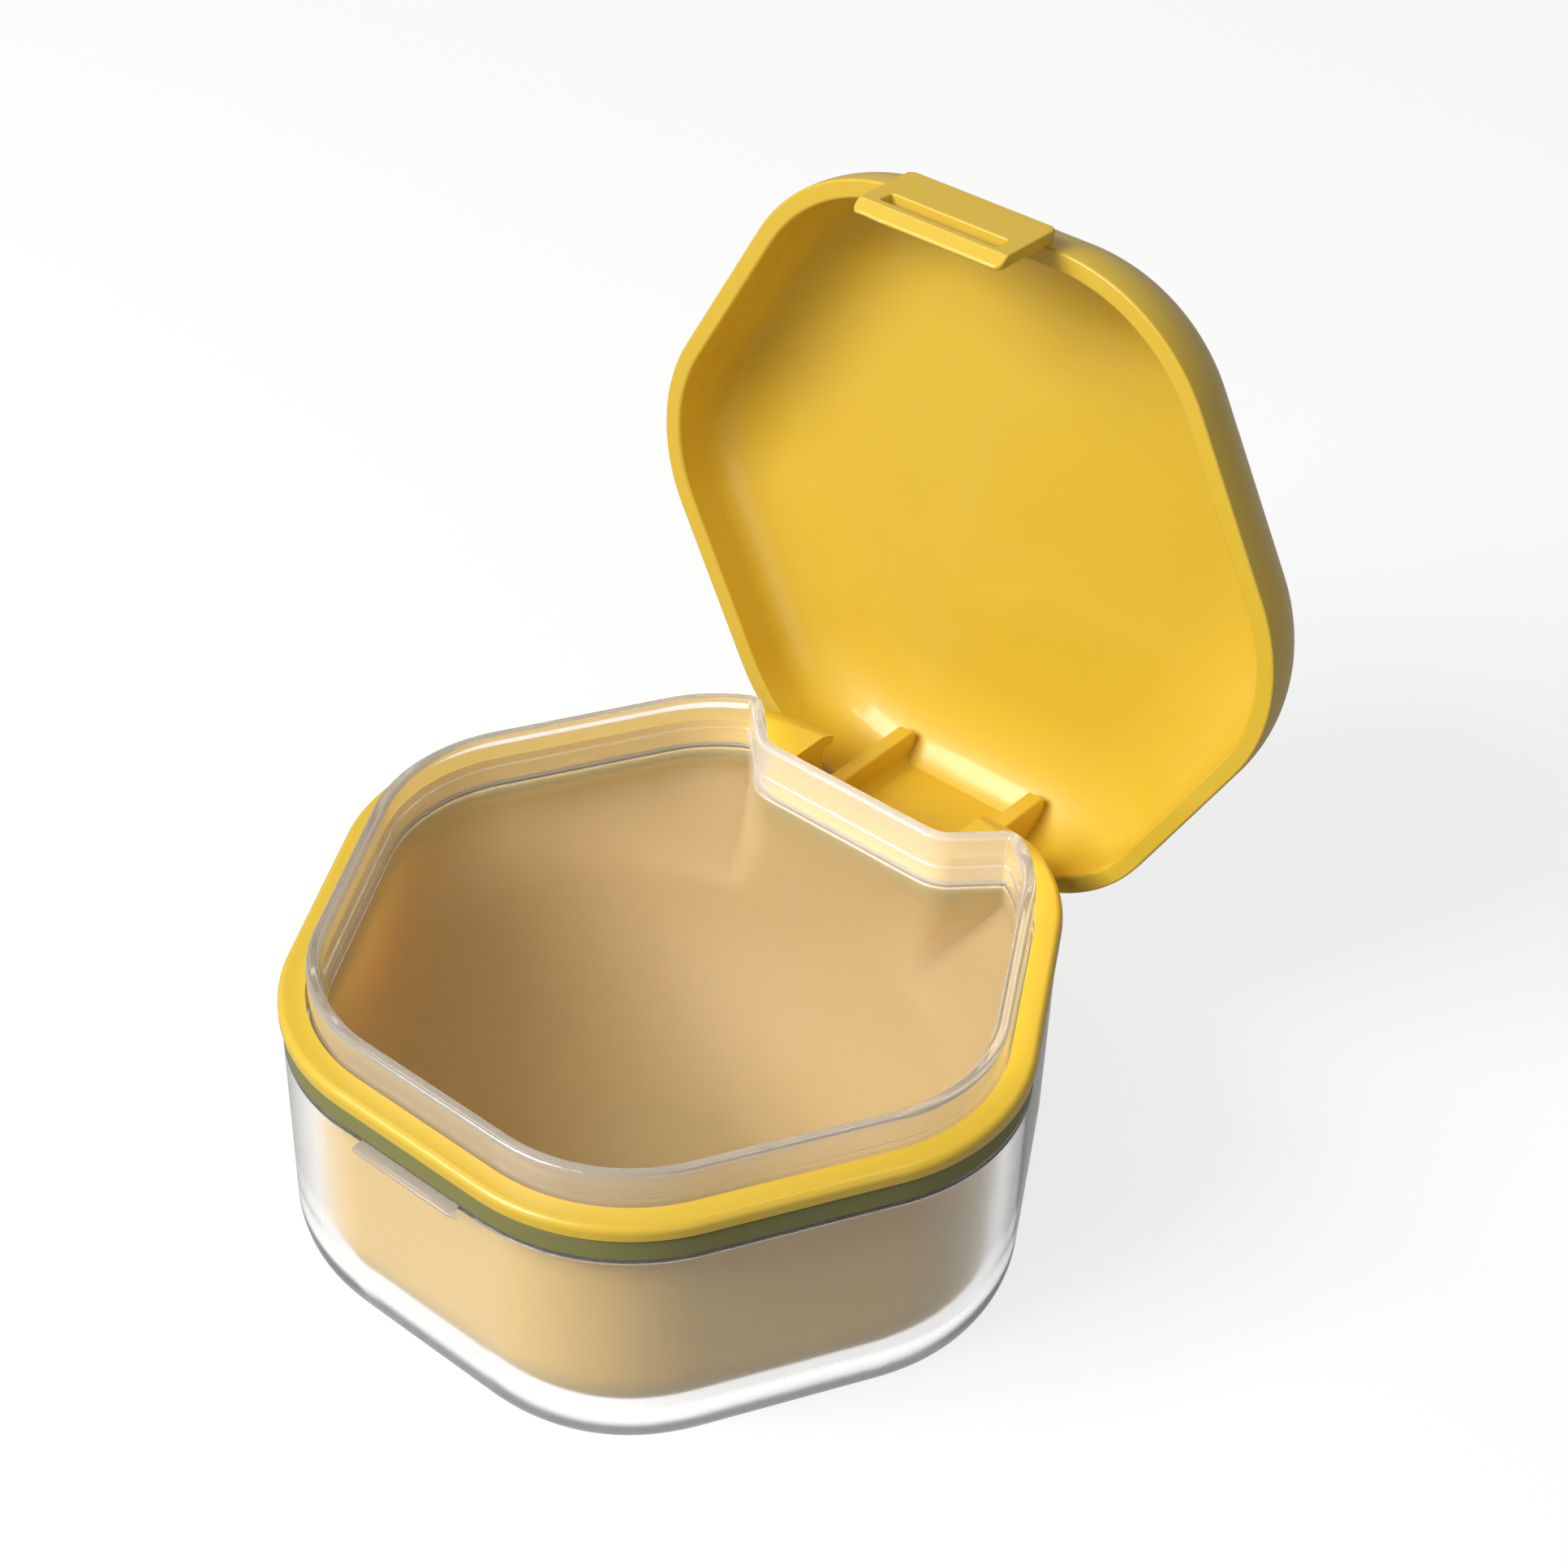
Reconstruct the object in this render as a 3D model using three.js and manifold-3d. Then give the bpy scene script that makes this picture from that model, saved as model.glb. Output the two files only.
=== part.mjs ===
// Denture case with a hinged lid, in millimetres, +Z up.
// The origin is the middle of the flat bottom. The latch is at the front, -Y, and the hinge at the back, +Y.
// The case stands open, with the lid leaning on its stop behind the bowl.

import * as THREE from 'three';
import { mergeVertices } from 'three/addons/utils/BufferGeometryUtils.js';
import Module from 'manifold-3d';

const wasm = await Module();
wasm.setup();

// Outline of the case from above: a hexagon with large round corners, one corner at each side
const halfWidth = 48;
const halfDepth = 42.6;
const flatHalfLength = 24.1;
const cornerRadius = 23.8;

// Hinge recess in the back of that outline, a flat floor between two sloping walls
const recessDepth = 8.55;
const recessSlope = Math.PI / 4;
const recessEdgeRadius = 5.55;
const recessCornerRadius = 0.5;
const sharpestRadius = 0.3;

// Clearances: between pieces that rest on or beside each other, and round the hinge pin
const seatGap = 0.3;
const pinGap = 0.06;
const cupGap = 0.4;
const overrun = 20;

// Hinge ring: the yellow frame that closes the bowl and carries the lid
const ringTop = 38.8;
const flangeThickness = 1.9;
const flangeEdgeRadius = 0.9;
const flangeTrim = 0.9;
const skirtDepth = 3.4;
const skirtWall = 1.1;

// Seal band under the ring
const sealHeight = 2.8;
const sealInset = 0.35;

// Outer shell, clear
const shellInset = 0.3;
const shellWall = 2.6;
const shellFloor = 3;
const footInset = 12.3;
const footRound = 10.25;
const catchHalfLength = 7.2;
const catchReach = 1.3;
const catchTip = 0.5;
const catchRoot = 1.9;

// Neck collar, clear, and the tinted cup that hangs from it
const neckInset = 3.35;
const neckWall = 1.6;
const neckHeight = 4.1;
const neckDrop = 3.4;
const neckChamfer = 0.35;
const cupLipWall = 0.6;
const cupFloor = 1.6;
const cupFootInset = 15.8;
const cupRound = 11;
const cupHollowRound = 28;

// Lid: a shallow dome
const lidInset = 0.5;
const lidHeight = 15.1;
const lidCrownInset = 16.4;
const lidStraightOutside = 0.9;
const lidRimWall = 2.3;
const lidRoof = 2;
const lidStraightInside = 4.4;
const lidInnerCrownInset = 16.9;

// Hinge: a pin across the recess, in the ring's cheeks, with two arms of the lid on it
const hingeInset = 5.2;
const hingeDrop = 8.2;
const openAngle = THREE.MathUtils.degToRad(91);
const pinRadius = 1.2;
const slotHalfWidth = 11.8;
const slotBridge = 2.6;
const cheekRadius = 3.2;
const cheekSetback = 0.6;
const cheekThickness = 3;
const armClearance = 0.6;
const armThickness = 2.2;
const armBossRadius = 2.9;
const armReach = 2.4;
const armTop = 9;
const armNose = 0.6;
const tongueThickness = 2;

// Latch flap: a slotted plate on a film hinge at the front of the lid
const flapHalfLength = 9.9;
const flapThickness = 1.45;
const flapTop = 1;
const flapDrop = 9.4;
const flapBevelHeight = 1.5;
const flapLipWall = 0.5;
const flapSlotGap = 0.5;
const flapSlotHeight = 2;
const flapEndRadius = 1;
const flapRootHalfLength = 8.5;
const flapRootHeight = 1.2;

// Form of the cup's hollow: its foot as a share of the egg shape above it, how full its round is, where 2 is
// elliptical and 1 a straight slope, the share of the way in by which the recess has faded out, and its
// widest facet
const hollowFoot = 0.2;
const hollowFullness = 1.7;
const hollowFade = 0.1;
const hollowFacet = 6;

// Fineness of arcs
const cornerSteps = 6;
const swingSteps = 8;
const edgeSteps = 3;
const roundSteps = 6;
const pinSteps = 24;

// Levels and insets that follow from the sizes above
const recessFloor = halfDepth - recessDepth;
const recessHalfWidth = slotHalfWidth - seatGap;
const flangeBottom = ringTop - flangeThickness;
const shellTop = flangeBottom - seatGap - sealHeight - seatGap;
const skirtBottom = ringTop - skirtDepth;
const ringBoreInset = neckInset - seatGap;
const skirtInset = ringBoreInset - skirtWall;
const neckBoreInset = neckInset + neckWall;
const neckBottom = ringTop - neckDrop;
const lipInset = neckBoreInset - cupLipWall;
const cupInset = shellInset + shellWall + cupGap;
const cupBottom = shellFloor + cupGap;
const hingeY = halfDepth - hingeInset;
const hingeZ = ringTop - hingeDrop;
const lidRim = ringTop + seatGap;
const lidFront = halfDepth - lidInset;
const lidBoreInset = lidInset + lidRimWall;
const armOuter = slotHalfWidth - armClearance;
const armInner = armOuter - armThickness;
const tongueFront = hingeY + pinRadius + seatGap;
const tongueBack = tongueFront + tongueThickness;
const recessFloorOfShell = recessFloor - shellInset;
const heelDrop = hingeY - recessFloorOfShell - seatGap;
const flapInside = halfDepth + seatGap + pinGap;
const flapOutside = flapInside + flapThickness;
const flapAxisY = -(flapInside - seatGap / 2);
const flapAxisZ = ringTop + flapTop - seatGap;

// Angles of the outline: the front right side faces this far before +X, the back right side as far past it
const sideFacing = Math.atan2(halfWidth - flatHalfLength, halfDepth);
const cornerTurn = Math.PI / 2 - sideFacing;
const flatCorner = new THREE.Vector2(
  flatHalfLength - cornerRadius * Math.tan(cornerTurn / 2),
  halfDepth - cornerRadius,
);
const sideCorner = new THREE.Vector2(halfWidth - cornerRadius / Math.cos(sideFacing), 0);

function arcPoints(centre, radius, from, to, steps) {
  const points = [];
  for (let step = 0; step <= steps; step += 1) {
    const angle = from + ((to - from) * step) / steps;
    points.push(new THREE.Vector2(centre.x + radius * Math.cos(angle), centre.y + radius * Math.sin(angle)));
  }
  return points;
}

function withMirror(rightHalf) {
  const leftHalf = rightHalf.map((point) => new THREE.Vector2(-point.x, point.y)).reverse();
  return rightHalf.concat(leftHalf);
}

// Front and side corners on the right, which every outline of the case shares
function frontAndSide(inset) {
  const radius = cornerRadius - inset;
  const front = new THREE.Vector2(flatCorner.x, -flatCorner.y);
  return [
    ...arcPoints(front, radius, -Math.PI / 2, -sideFacing, cornerSteps),
    ...arcPoints(sideCorner, radius, -sideFacing, sideFacing, cornerSteps),
  ];
}

// The whole outline, moved in by an inset
function fullOutline(inset) {
  const back = arcPoints(flatCorner, cornerRadius - inset, sideFacing, Math.PI / 2, cornerSteps);
  return withMirror([...frontAndSide(inset), ...back]);
}

// The outline with the hinge recess, moved in by an inset
function recessedOutline(inset) {
  const radius = cornerRadius - inset;
  const edge = Math.max(recessEdgeRadius - inset, sharpestRadius);
  const hollow = recessCornerRadius + inset;
  const foot = new THREE.Vector2(recessHalfWidth + inset * Math.tan(recessSlope / 2), recessFloor - inset);
  const along = new THREE.Vector2(Math.cos(recessSlope), Math.sin(recessSlope));
  const inward = new THREE.Vector2(along.y, -along.x);
  // Centre of the round edge where the sloping wall meets the corner arc: tangent to both
  const start = foot.clone().addScaledVector(inward, edge).sub(flatCorner);
  const half = start.dot(along);
  const rest = start.lengthSq() - (radius - edge) ** 2;
  const travel = -half + Math.sqrt(half * half - rest);
  const edgeCentre = start.addScaledVector(along, travel).add(flatCorner);
  const meeting = edgeCentre.clone().sub(flatCorner).angle();
  const hollowCentre = new THREE.Vector2(foot.x - hollow * Math.tan(recessSlope / 2), foot.y + hollow);
  return withMirror([
    ...frontAndSide(inset),
    ...arcPoints(flatCorner, radius, sideFacing, meeting, cornerSteps),
    ...arcPoints(edgeCentre, edge, meeting, Math.PI / 2 + recessSlope, edgeSteps).slice(1),
    ...arcPoints(hollowCentre, hollow, recessSlope - Math.PI / 2, -Math.PI / 2, edgeSteps),
  ]);
}

// Distance from the middle to the whole outline along a direction
function fullReach(direction, inset) {
  const ray = new THREE.Vector2(Math.abs(direction.x), Math.abs(direction.y));
  const facing = new THREE.Vector2(Math.cos(sideFacing), Math.sin(sideFacing));
  const toSide = (facing.x * halfWidth - inset) / facing.dot(ray);
  const toFlat = ray.y > 0 ? (halfDepth - inset) / ray.y : toSide;
  let reach = Math.min(toSide, toFlat);
  const corners = [
    { centre: sideCorner, low: 0, high: sideFacing },
    { centre: flatCorner, low: sideFacing, high: Math.PI / 2 },
  ];
  for (const corner of corners) {
    const radius = cornerRadius - inset;
    const half = corner.centre.dot(ray);
    const inside = half * half - corner.centre.lengthSq() + radius * radius;
    if (inside > 0) {
      const distance = half + Math.sqrt(inside);
      const facingThere = ray.clone().multiplyScalar(distance).sub(corner.centre).angle();
      if (facingThere >= corner.low && facingThere <= corner.high) reach = Math.min(reach, distance);
    }
  }
  return reach;
}

// The whole outline again, with one point straight outside or inside each point of another outline
function fullOutlineLike(points, inset) {
  return points.map((point) => {
    const direction = point.clone().normalize();
    return direction.multiplyScalar(fullReach(direction, inset));
  });
}

// Closed body through a stack of outlines, lowest first, each with its level
function stack(rings) {
  const count = rings[0].points.length;
  const positions = [];
  const indices = [];
  for (const ring of rings) {
    for (const point of ring.points) positions.push(point.x, point.y, ring.level);
  }
  for (let ring = 0; ring < rings.length - 1; ring += 1) {
    for (let side = 0; side < count; side += 1) {
      const next = (side + 1) % count;
      const lower = ring * count;
      const upper = lower + count;
      indices.push(lower + side, lower + next, upper + next, lower + side, upper + next, upper + side);
    }
  }
  const top = (rings.length - 1) * count;
  const lowMiddle = rings.length * count;
  positions.push(0, 0, rings[0].level, 0, 0, rings[rings.length - 1].level);
  for (let side = 0; side < count; side += 1) {
    const next = (side + 1) % count;
    indices.push(lowMiddle, next, side, lowMiddle + 1, top + side, top + next);
  }
  const geometry = new THREE.BufferGeometry();
  geometry.setAttribute('position', new THREE.Float32BufferAttribute(positions, 3));
  geometry.setIndex(indices);
  return solidOf(geometry);
}

function prism(points, low, high) {
  return stack([{ points, level: low }, { points, level: high }]);
}

// Bowl form: straight wall from the top, then an elliptical round down to a whole outline at the foot
function bowl(wallInset, top, bottom, round, foot) {
  const wall = recessedOutline(wallInset);
  const base = fullOutlineLike(wall, foot);
  const rings = [];
  for (let step = 0; step <= roundSteps; step += 1) {
    const angle = (Math.PI / 2) * (step / roundSteps);
    const share = 1 - Math.sin(angle);
    const points = wall.map((point, index) => point.clone().lerp(base[index], share));
    rings.push({ points, level: bottom + round * (1 - Math.cos(angle)) });
  }
  rings.push({ points: wall, level: top });
  return stack(rings);
}

// Dome form: straight wall from the rim, then an elliptical round up to a flat crown
function dome(rimInset, rimLevel, straight, height, crownInset) {
  const rings = [{ points: fullOutline(rimInset), level: rimLevel }];
  for (let step = 0; step <= roundSteps; step += 1) {
    const angle = (Math.PI / 2) * (step / roundSteps);
    const inset = rimInset + (crownInset - rimInset) * (1 - Math.cos(angle));
    const level = ringTop + straight + (height - straight) * Math.sin(angle);
    rings.push({ points: fullOutline(inset), level });
  }
  return stack(rings);
}

function solidOf(geometry) {
  const bare = geometry.clone();
  bare.deleteAttribute('normal');
  bare.deleteAttribute('uv');
  const merged = mergeVertices(bare);
  return new wasm.Manifold(new wasm.Mesh({
    numProp: 3,
    vertProperties: new Float32Array(merged.attributes.position.array),
    triVerts: new Uint32Array(merged.index.array),
  }));
}

function meshOf(name, solid, material) {
  const result = solid.getMesh();
  const geometry = new THREE.BufferGeometry();
  geometry.setAttribute('position', new THREE.BufferAttribute(result.vertProperties, 3));
  geometry.setIndex(new THREE.BufferAttribute(result.triVerts, 1));
  geometry.computeVertexNormals();
  const mesh = new THREE.Mesh(geometry, material);
  mesh.name = name;
  return mesh;
}

// A side profile, its points given as Y and Z, extruded along X from one value to another
const profileFrame = new THREE.Matrix4().makeBasis(
  new THREE.Vector3(0, 1, 0),
  new THREE.Vector3(0, 0, 1),
  new THREE.Vector3(1, 0, 0),
);

function acrossX(shape, from, to) {
  const geometry = new THREE.ExtrudeGeometry(shape, {
    depth: to - from,
    bevelEnabled: false,
    curveSegments: cornerSteps,
  });
  geometry.translate(0, 0, from);
  geometry.applyMatrix4(profileFrame);
  return solidOf(geometry);
}

function profile(points) {
  return new THREE.Shape(points.map(([y, z]) => new THREE.Vector2(y, z)));
}

function block(low, high) {
  const size = high.clone().sub(low);
  const geometry = new THREE.BoxGeometry(size.x, size.y, size.z);
  geometry.translate(low.x + size.x / 2, low.y + size.y / 2, low.z + size.z / 2);
  return solidOf(geometry);
}

function pinSolid(radius, halfLength) {
  const geometry = new THREE.CylinderGeometry(radius, radius, halfLength * 2, pinSteps);
  geometry.rotateZ(Math.PI / 2);
  geometry.translate(0, hingeY, hingeZ);
  return solidOf(geometry);
}

function plastic(color, roughness, opacity) {
  return new THREE.MeshStandardMaterial({
    color,
    roughness,
    metalness: 0,
    opacity,
    transparent: opacity < 1,
  });
}

const yellowPlastic = plastic(0xe9bd3c, 0.3, 1);
const clearPlastic = plastic(0xf3f3ee, 0.08, 0.35);
const tanPlastic = plastic(0xd0a768, 0.5, 1);
const sealRubber = plastic(0x8f8e56, 0.6, 1);
const pinSteel = new THREE.MeshStandardMaterial({ color: 0xb8b8b8, roughness: 0.3, metalness: 1 });

// Outer shell: round-footed bowl with the hinge recess, and the catch that the latch flap snaps over
function outerShell() {
  const body = bowl(shellInset, shellTop, 0, footRound, footInset);
  const wallInside = shellInset + shellWall;
  const hollow = bowl(wallInside, shellTop + overrun, shellFloor, footRound - shellFloor, footInset);
  const face = halfDepth - shellInset;
  const ledge = acrossX(profile([
    [-face + shellWall / 2, shellTop],
    [-face - catchReach, shellTop],
    [-face - catchReach, shellTop - catchTip],
    [-face, shellTop - catchRoot],
    [-face + shellWall / 2, shellTop - catchRoot],
  ].reverse()), -catchHalfLength, catchHalfLength);
  return meshOf('outer_shell', body.add(ledge).subtract(hollow), clearPlastic);
}

// Adds points to an outline's long straight stretches
function subdivided(points, longest) {
  return points.flatMap((point, index) => {
    const next = points[(index + 1) % points.length];
    const pieces = Math.ceil(point.distanceTo(next) / longest);
    return Array.from({ length: pieces }, (_, piece) => point.clone().lerp(next, piece / pieces));
  });
}

// Egg shape inside the recessed outline, with one point straight inside each point of that outline
function eggLike(points, inset) {
  const front = halfDepth - inset;
  const back = recessFloor - inset;
  const toSide = halfWidth * Math.cos(sideFacing) - inset;
  const side = Math.sqrt(toSide ** 2 - (front * Math.sin(sideFacing)) ** 2) / Math.cos(sideFacing);
  return points.map((point) => {
    const depth = point.y < 0 ? front : back;
    return point.clone().divideScalar(Math.hypot(point.x / side, point.y / depth));
  });
}

// Hollow of the cup: follows the collar's bore at the top, and turns into an egg-shaped bowl below it
function cupHollow() {
  const wall = subdivided(recessedOutline(neckBoreInset), hollowFacet);
  const egg = eggLike(wall, neckBoreInset);
  const foot = egg.map((point) => point.clone().multiplyScalar(hollowFoot));
  const rings = [];
  for (let step = 0; step <= roundSteps; step += 1) {
    const angle = (Math.PI / 2) * (step / roundSteps);
    const share = 1 - Math.sin(angle) ** (2 / hollowFullness);
    const faded = 1 - (1 - Math.min(share / hollowFade, 1)) ** 2;
    const sides = wall.map((point, index) => point.clone().lerp(egg[index], faded));
    const points = sides.map((point, index) => point.lerp(foot[index], share));
    const rise = 1 - Math.cos(angle) ** (2 / hollowFullness);
    rings.push({ points, level: cupBottom + cupFloor + cupHollowRound * rise });
  }
  rings.push({ points: wall, level: ringTop });
  return stack(rings);
}

// Inner cup: its thin lip stands in the neck collar, and its wall hangs clear of the shell
function innerCup() {
  const wallTop = shellTop;
  const body = bowl(cupInset, wallTop, cupBottom, cupRound, cupFootInset);
  const lip = prism(recessedOutline(lipInset), wallTop - cupFloor, neckBottom - seatGap);
  return meshOf('inner_cup', body.add(lip).subtract(cupHollow()), tanPlastic);
}

// Neck collar: the clear rim that the lid closes over, on a foot that rests on the shell
function neckCollar() {
  const footBottom = shellTop + seatGap;
  const top = ringTop + neckHeight;
  const wall = stack([
    { points: recessedOutline(neckInset), level: footBottom },
    { points: recessedOutline(neckInset), level: top - neckChamfer },
    { points: recessedOutline(neckInset + neckChamfer), level: top },
  ]);
  const foot = prism(recessedOutline(skirtInset), footBottom, skirtBottom - seatGap);
  const bore = stack([
    { points: recessedOutline(neckBoreInset), level: footBottom - overrun },
    { points: recessedOutline(neckBoreInset), level: top - neckChamfer },
    { points: recessedOutline(neckBoreInset - neckChamfer), level: top },
    { points: recessedOutline(neckBoreInset - neckChamfer), level: top + overrun },
  ]);
  const lipSeat = prism(recessedOutline(lipInset - seatGap), footBottom - overrun, neckBottom);
  return meshOf('neck_collar', wall.add(foot).subtract(bore).subtract(lipSeat), clearPlastic);
}

// Seal band: follows the shell's rim all round, outside the ring's skirt
function sealBand() {
  const low = shellTop + seatGap;
  const high = flangeBottom - seatGap;
  const outside = prism(recessedOutline(sealInset), low, high);
  const inside = prism(recessedOutline(skirtInset - seatGap), low - overrun, high + overrun);
  return meshOf('seal_band', outside.subtract(inside), sealRubber);
}

// How far from the hinge axis the lid's rim passes, at a distance to the side
function rimSwing(aside) {
  const radius = cornerRadius - lidBoreInset;
  const alongCorner = Math.min(Math.max(aside - flatCorner.x, 0), radius);
  const behind = flatCorner.y + Math.sqrt(radius ** 2 - alongCorner ** 2) - hingeY;
  return Math.hypot(Math.max(behind, 0), lidRim - hingeZ) - seatGap;
}

// Space behind the hinge axis that the lid's back rim swings through
function swingSpace() {
  const rings = [];
  for (let step = -swingSteps; step <= swingSteps; step += 1) {
    const level = (halfWidth * step) / swingSteps;
    const radius = rimSwing(Math.abs(level));
    const arc = arcPoints(new THREE.Vector2(hingeY, hingeZ), radius, 0, Math.PI / 2, roundSteps);
    const high = new THREE.Vector2(hingeY, ringTop + overrun);
    const far = new THREE.Vector2(halfDepth + overrun, ringTop + overrun);
    const low = new THREE.Vector2(halfDepth + overrun, hingeZ);
    rings.push({ points: [...arc, high, far, low].reverse(), level });
  }
  return stack(rings).transform(profileFrame.elements);
}

// Cheek beside the slot, rounded under the pin, on the right or the left
function cheek(side) {
  const shape = new THREE.Shape();
  shape.moveTo(hingeY - cheekRadius, flangeBottom + flangeThickness / 2);
  shape.lineTo(hingeY - cheekRadius, hingeZ);
  shape.absarc(hingeY, hingeZ, cheekRadius, Math.PI, 2 * Math.PI, false);
  shape.lineTo(hingeY + cheekRadius, flangeBottom + flangeThickness / 2);
  shape.closePath();
  const inner = side * (slotHalfWidth + cheekSetback);
  const outer = inner + side * cheekThickness;
  const body = acrossX(shape, Math.min(inner, outer), Math.max(inner, outer));
  const shellSpace = prism(recessedOutline(shellInset - seatGap), 0, flangeBottom);
  return body.subtract(shellSpace);
}

// Hinge ring: flat flange with a rounded edge, trimmed straight at the back, with a skirt and two cheeks
function hingeRing() {
  const flange = stack([
    { points: fullOutline(0), level: flangeBottom },
    { points: fullOutline(0), level: ringTop - flangeEdgeRadius },
    { points: fullOutline(flangeEdgeRadius * (1 - Math.cos(Math.PI / 4))),
      level: ringTop - flangeEdgeRadius * (1 - Math.sin(Math.PI / 4)) },
    { points: fullOutline(flangeEdgeRadius), level: ringTop },
  ]);
  const skirt = prism(recessedOutline(skirtInset), skirtBottom, ringTop - flangeThickness / 2);
  const bore = prism(recessedOutline(ringBoreInset), skirtBottom - overrun, ringTop + overrun);
  const slotFront = recessFloor - ringBoreInset + slotBridge;
  const slot = block(
    new THREE.Vector3(-slotHalfWidth, slotFront, skirtBottom - overrun),
    new THREE.Vector3(slotHalfWidth, halfDepth + overrun, ringTop + overrun),
  );
  const trim = block(
    new THREE.Vector3(-halfWidth, halfDepth - flangeTrim, flangeBottom - seatGap),
    new THREE.Vector3(halfWidth, halfDepth + overrun, ringTop + overrun),
  );
  const body = flange.add(skirt).subtract(bore).subtract(slot).subtract(trim).add(cheek(1)).add(cheek(-1));
  const pinBore = pinSolid(pinRadius + pinGap, halfWidth);
  return meshOf('hinge_ring', body.subtract(swingSpace()).subtract(pinBore), yellowPlastic);
}

function hingePin() {
  const halfLength = slotHalfWidth + cheekSetback + cheekThickness / 2;
  const insideCheeks = Math.min(halfLength, recessHalfWidth + hingeY - pinRadius - recessFloor);
  return meshOf('hinge_pin', pinSolid(pinRadius, insideCheeks), pinSteel);
}

// Hinge arm of the lid, in the closed place: boss on the pin, straight front edge, nose into the dome
function armProfile() {
  const shape = new THREE.Shape();
  const bossMeeting = Math.PI - Math.asin(Math.sqrt(1 - (armReach / armBossRadius) ** 2));
  shape.moveTo(hingeY + armBossRadius, hingeZ);
  shape.absarc(hingeY, hingeZ, armBossRadius, 2 * Math.PI, bossMeeting, true);
  shape.lineTo(hingeY - armReach, ringTop + armTop);
  shape.lineTo(hingeY - armReach + armNose, ringTop + armTop + armNose);
  shape.lineTo(tongueBack, ringTop + armTop + armNose);
  shape.lineTo(tongueBack, hingeZ);
  shape.closePath();
  return shape;
}

// Lid in the closed place: dome, hinge arms with the tongue between them, and the root of the latch flap
function lidSolid() {
  const outside = dome(lidInset, lidRim, lidStraightOutside, lidHeight, lidCrownInset);
  const inside = dome(lidBoreInset, lidRim - overrun, lidStraightInside, lidHeight - lidRoof,
    lidInnerCrownInset);
  const hanging = block(
    new THREE.Vector3(-armOuter, hingeY - armBossRadius - overrun, hingeZ - overrun),
    new THREE.Vector3(armOuter, tongueBack, lidRim + seatGap),
  );
  const arms = acrossX(armProfile(), armInner, armOuter).add(acrossX(armProfile(), -armOuter, -armInner));
  const tongue = block(
    new THREE.Vector3(-armInner - seatGap, tongueFront, hingeZ - heelDrop),
    new THREE.Vector3(armInner + seatGap, tongueBack, ringTop + armTop),
  );
  const fittings = arms.add(tongue).intersect(outside.add(hanging));
  const rootLevel = ringTop + flapTop;
  const root = block(
    new THREE.Vector3(-flapRootHalfLength, -flapInside + seatGap, rootLevel - seatGap),
    new THREE.Vector3(flapRootHalfLength, -lidFront + lidRimWall / 2, rootLevel + flapRootHeight),
  );
  const bore = pinSolid(pinRadius + pinGap, armOuter + seatGap);
  return outside.subtract(inside).add(fittings).add(root).subtract(bore);
}

// Latch flap in the closed place: rounded plate with a window for the catch and a bevelled lower lip
function flapSolid() {
  const top = ringTop + flapTop;
  const bottom = top - flapTop - flapDrop;
  const plate = acrossX(profile([
    [-flapInside, top],
    [-flapOutside, top],
    [-flapOutside, bottom + flapBevelHeight],
    [-flapInside - flapLipWall, bottom],
    [-flapInside, bottom],
  ]), -flapHalfLength, flapHalfLength);
  const face = new THREE.Shape();
  face.moveTo(-flapHalfLength + flapEndRadius, bottom);
  face.absarc(flapHalfLength - flapEndRadius, bottom + flapEndRadius, flapEndRadius, -Math.PI / 2, 0, false);
  face.absarc(flapHalfLength - flapEndRadius, top - flapEndRadius, flapEndRadius, 0, Math.PI / 2, false);
  face.absarc(-flapHalfLength + flapEndRadius, top - flapEndRadius, flapEndRadius, Math.PI / 2,
    Math.PI, false);
  face.absarc(-flapHalfLength + flapEndRadius, bottom + flapEndRadius, flapEndRadius, Math.PI,
    Math.PI * 1.5, false);
  const faceGeometry = new THREE.ExtrudeGeometry(face, {
    depth: flapOutside + overrun,
    bevelEnabled: false,
    curveSegments: edgeSteps,
  });
  faceGeometry.rotateX(Math.PI / 2);
  const windowLow = shellTop - catchRoot + (catchRoot - catchTip) / 2 - flapSlotGap;
  const slot = block(
    new THREE.Vector3(-catchHalfLength - flapSlotGap, -flapOutside - overrun, windowLow),
    new THREE.Vector3(catchHalfLength + flapSlotGap, -flapInside + overrun, windowLow + flapSlotHeight),
  );
  return plate.intersect(solidOf(faceGeometry)).subtract(slot);
}

// The lid and its flap are made closed, moved so that the hinge axis is their origin, and turned open
const lidGroup = new THREE.Group();
lidGroup.position.set(0, hingeY, hingeZ);
lidGroup.rotation.x = -openAngle;
const lid = meshOf('lid', lidSolid().translate([0, -hingeY, -hingeZ]), yellowPlastic);
const flapGroup = new THREE.Group();
flapGroup.position.set(0, flapAxisY - hingeY, flapAxisZ - hingeZ);
const flap = meshOf('latch_flap', flapSolid().translate([0, -flapAxisY, -flapAxisZ]), yellowPlastic);
flapGroup.add(flap);
lidGroup.add(lid, flapGroup);

const dentureCase = new THREE.Group();
dentureCase.add(outerShell(), innerCup(), neckCollar(), sealBand(), hingeRing(), hingePin(), lidGroup);

export default dentureCase;
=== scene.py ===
"""A denture case standing open: clear bowl, tinted cup, seal band, hinge ring, domed lid and latch flap.

All sizes are in metres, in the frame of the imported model: the origin is the middle of the flat bottom, +Z is
up, the latch is at the front, -Y, and the hinge at the back, +Y.
"""

import logging
import math
from collections.abc import Callable, Sequence
from dataclasses import dataclass
from enum import Enum
from typing import ClassVar

import bmesh
import bpy
from mathutils import Matrix, Vector


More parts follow.
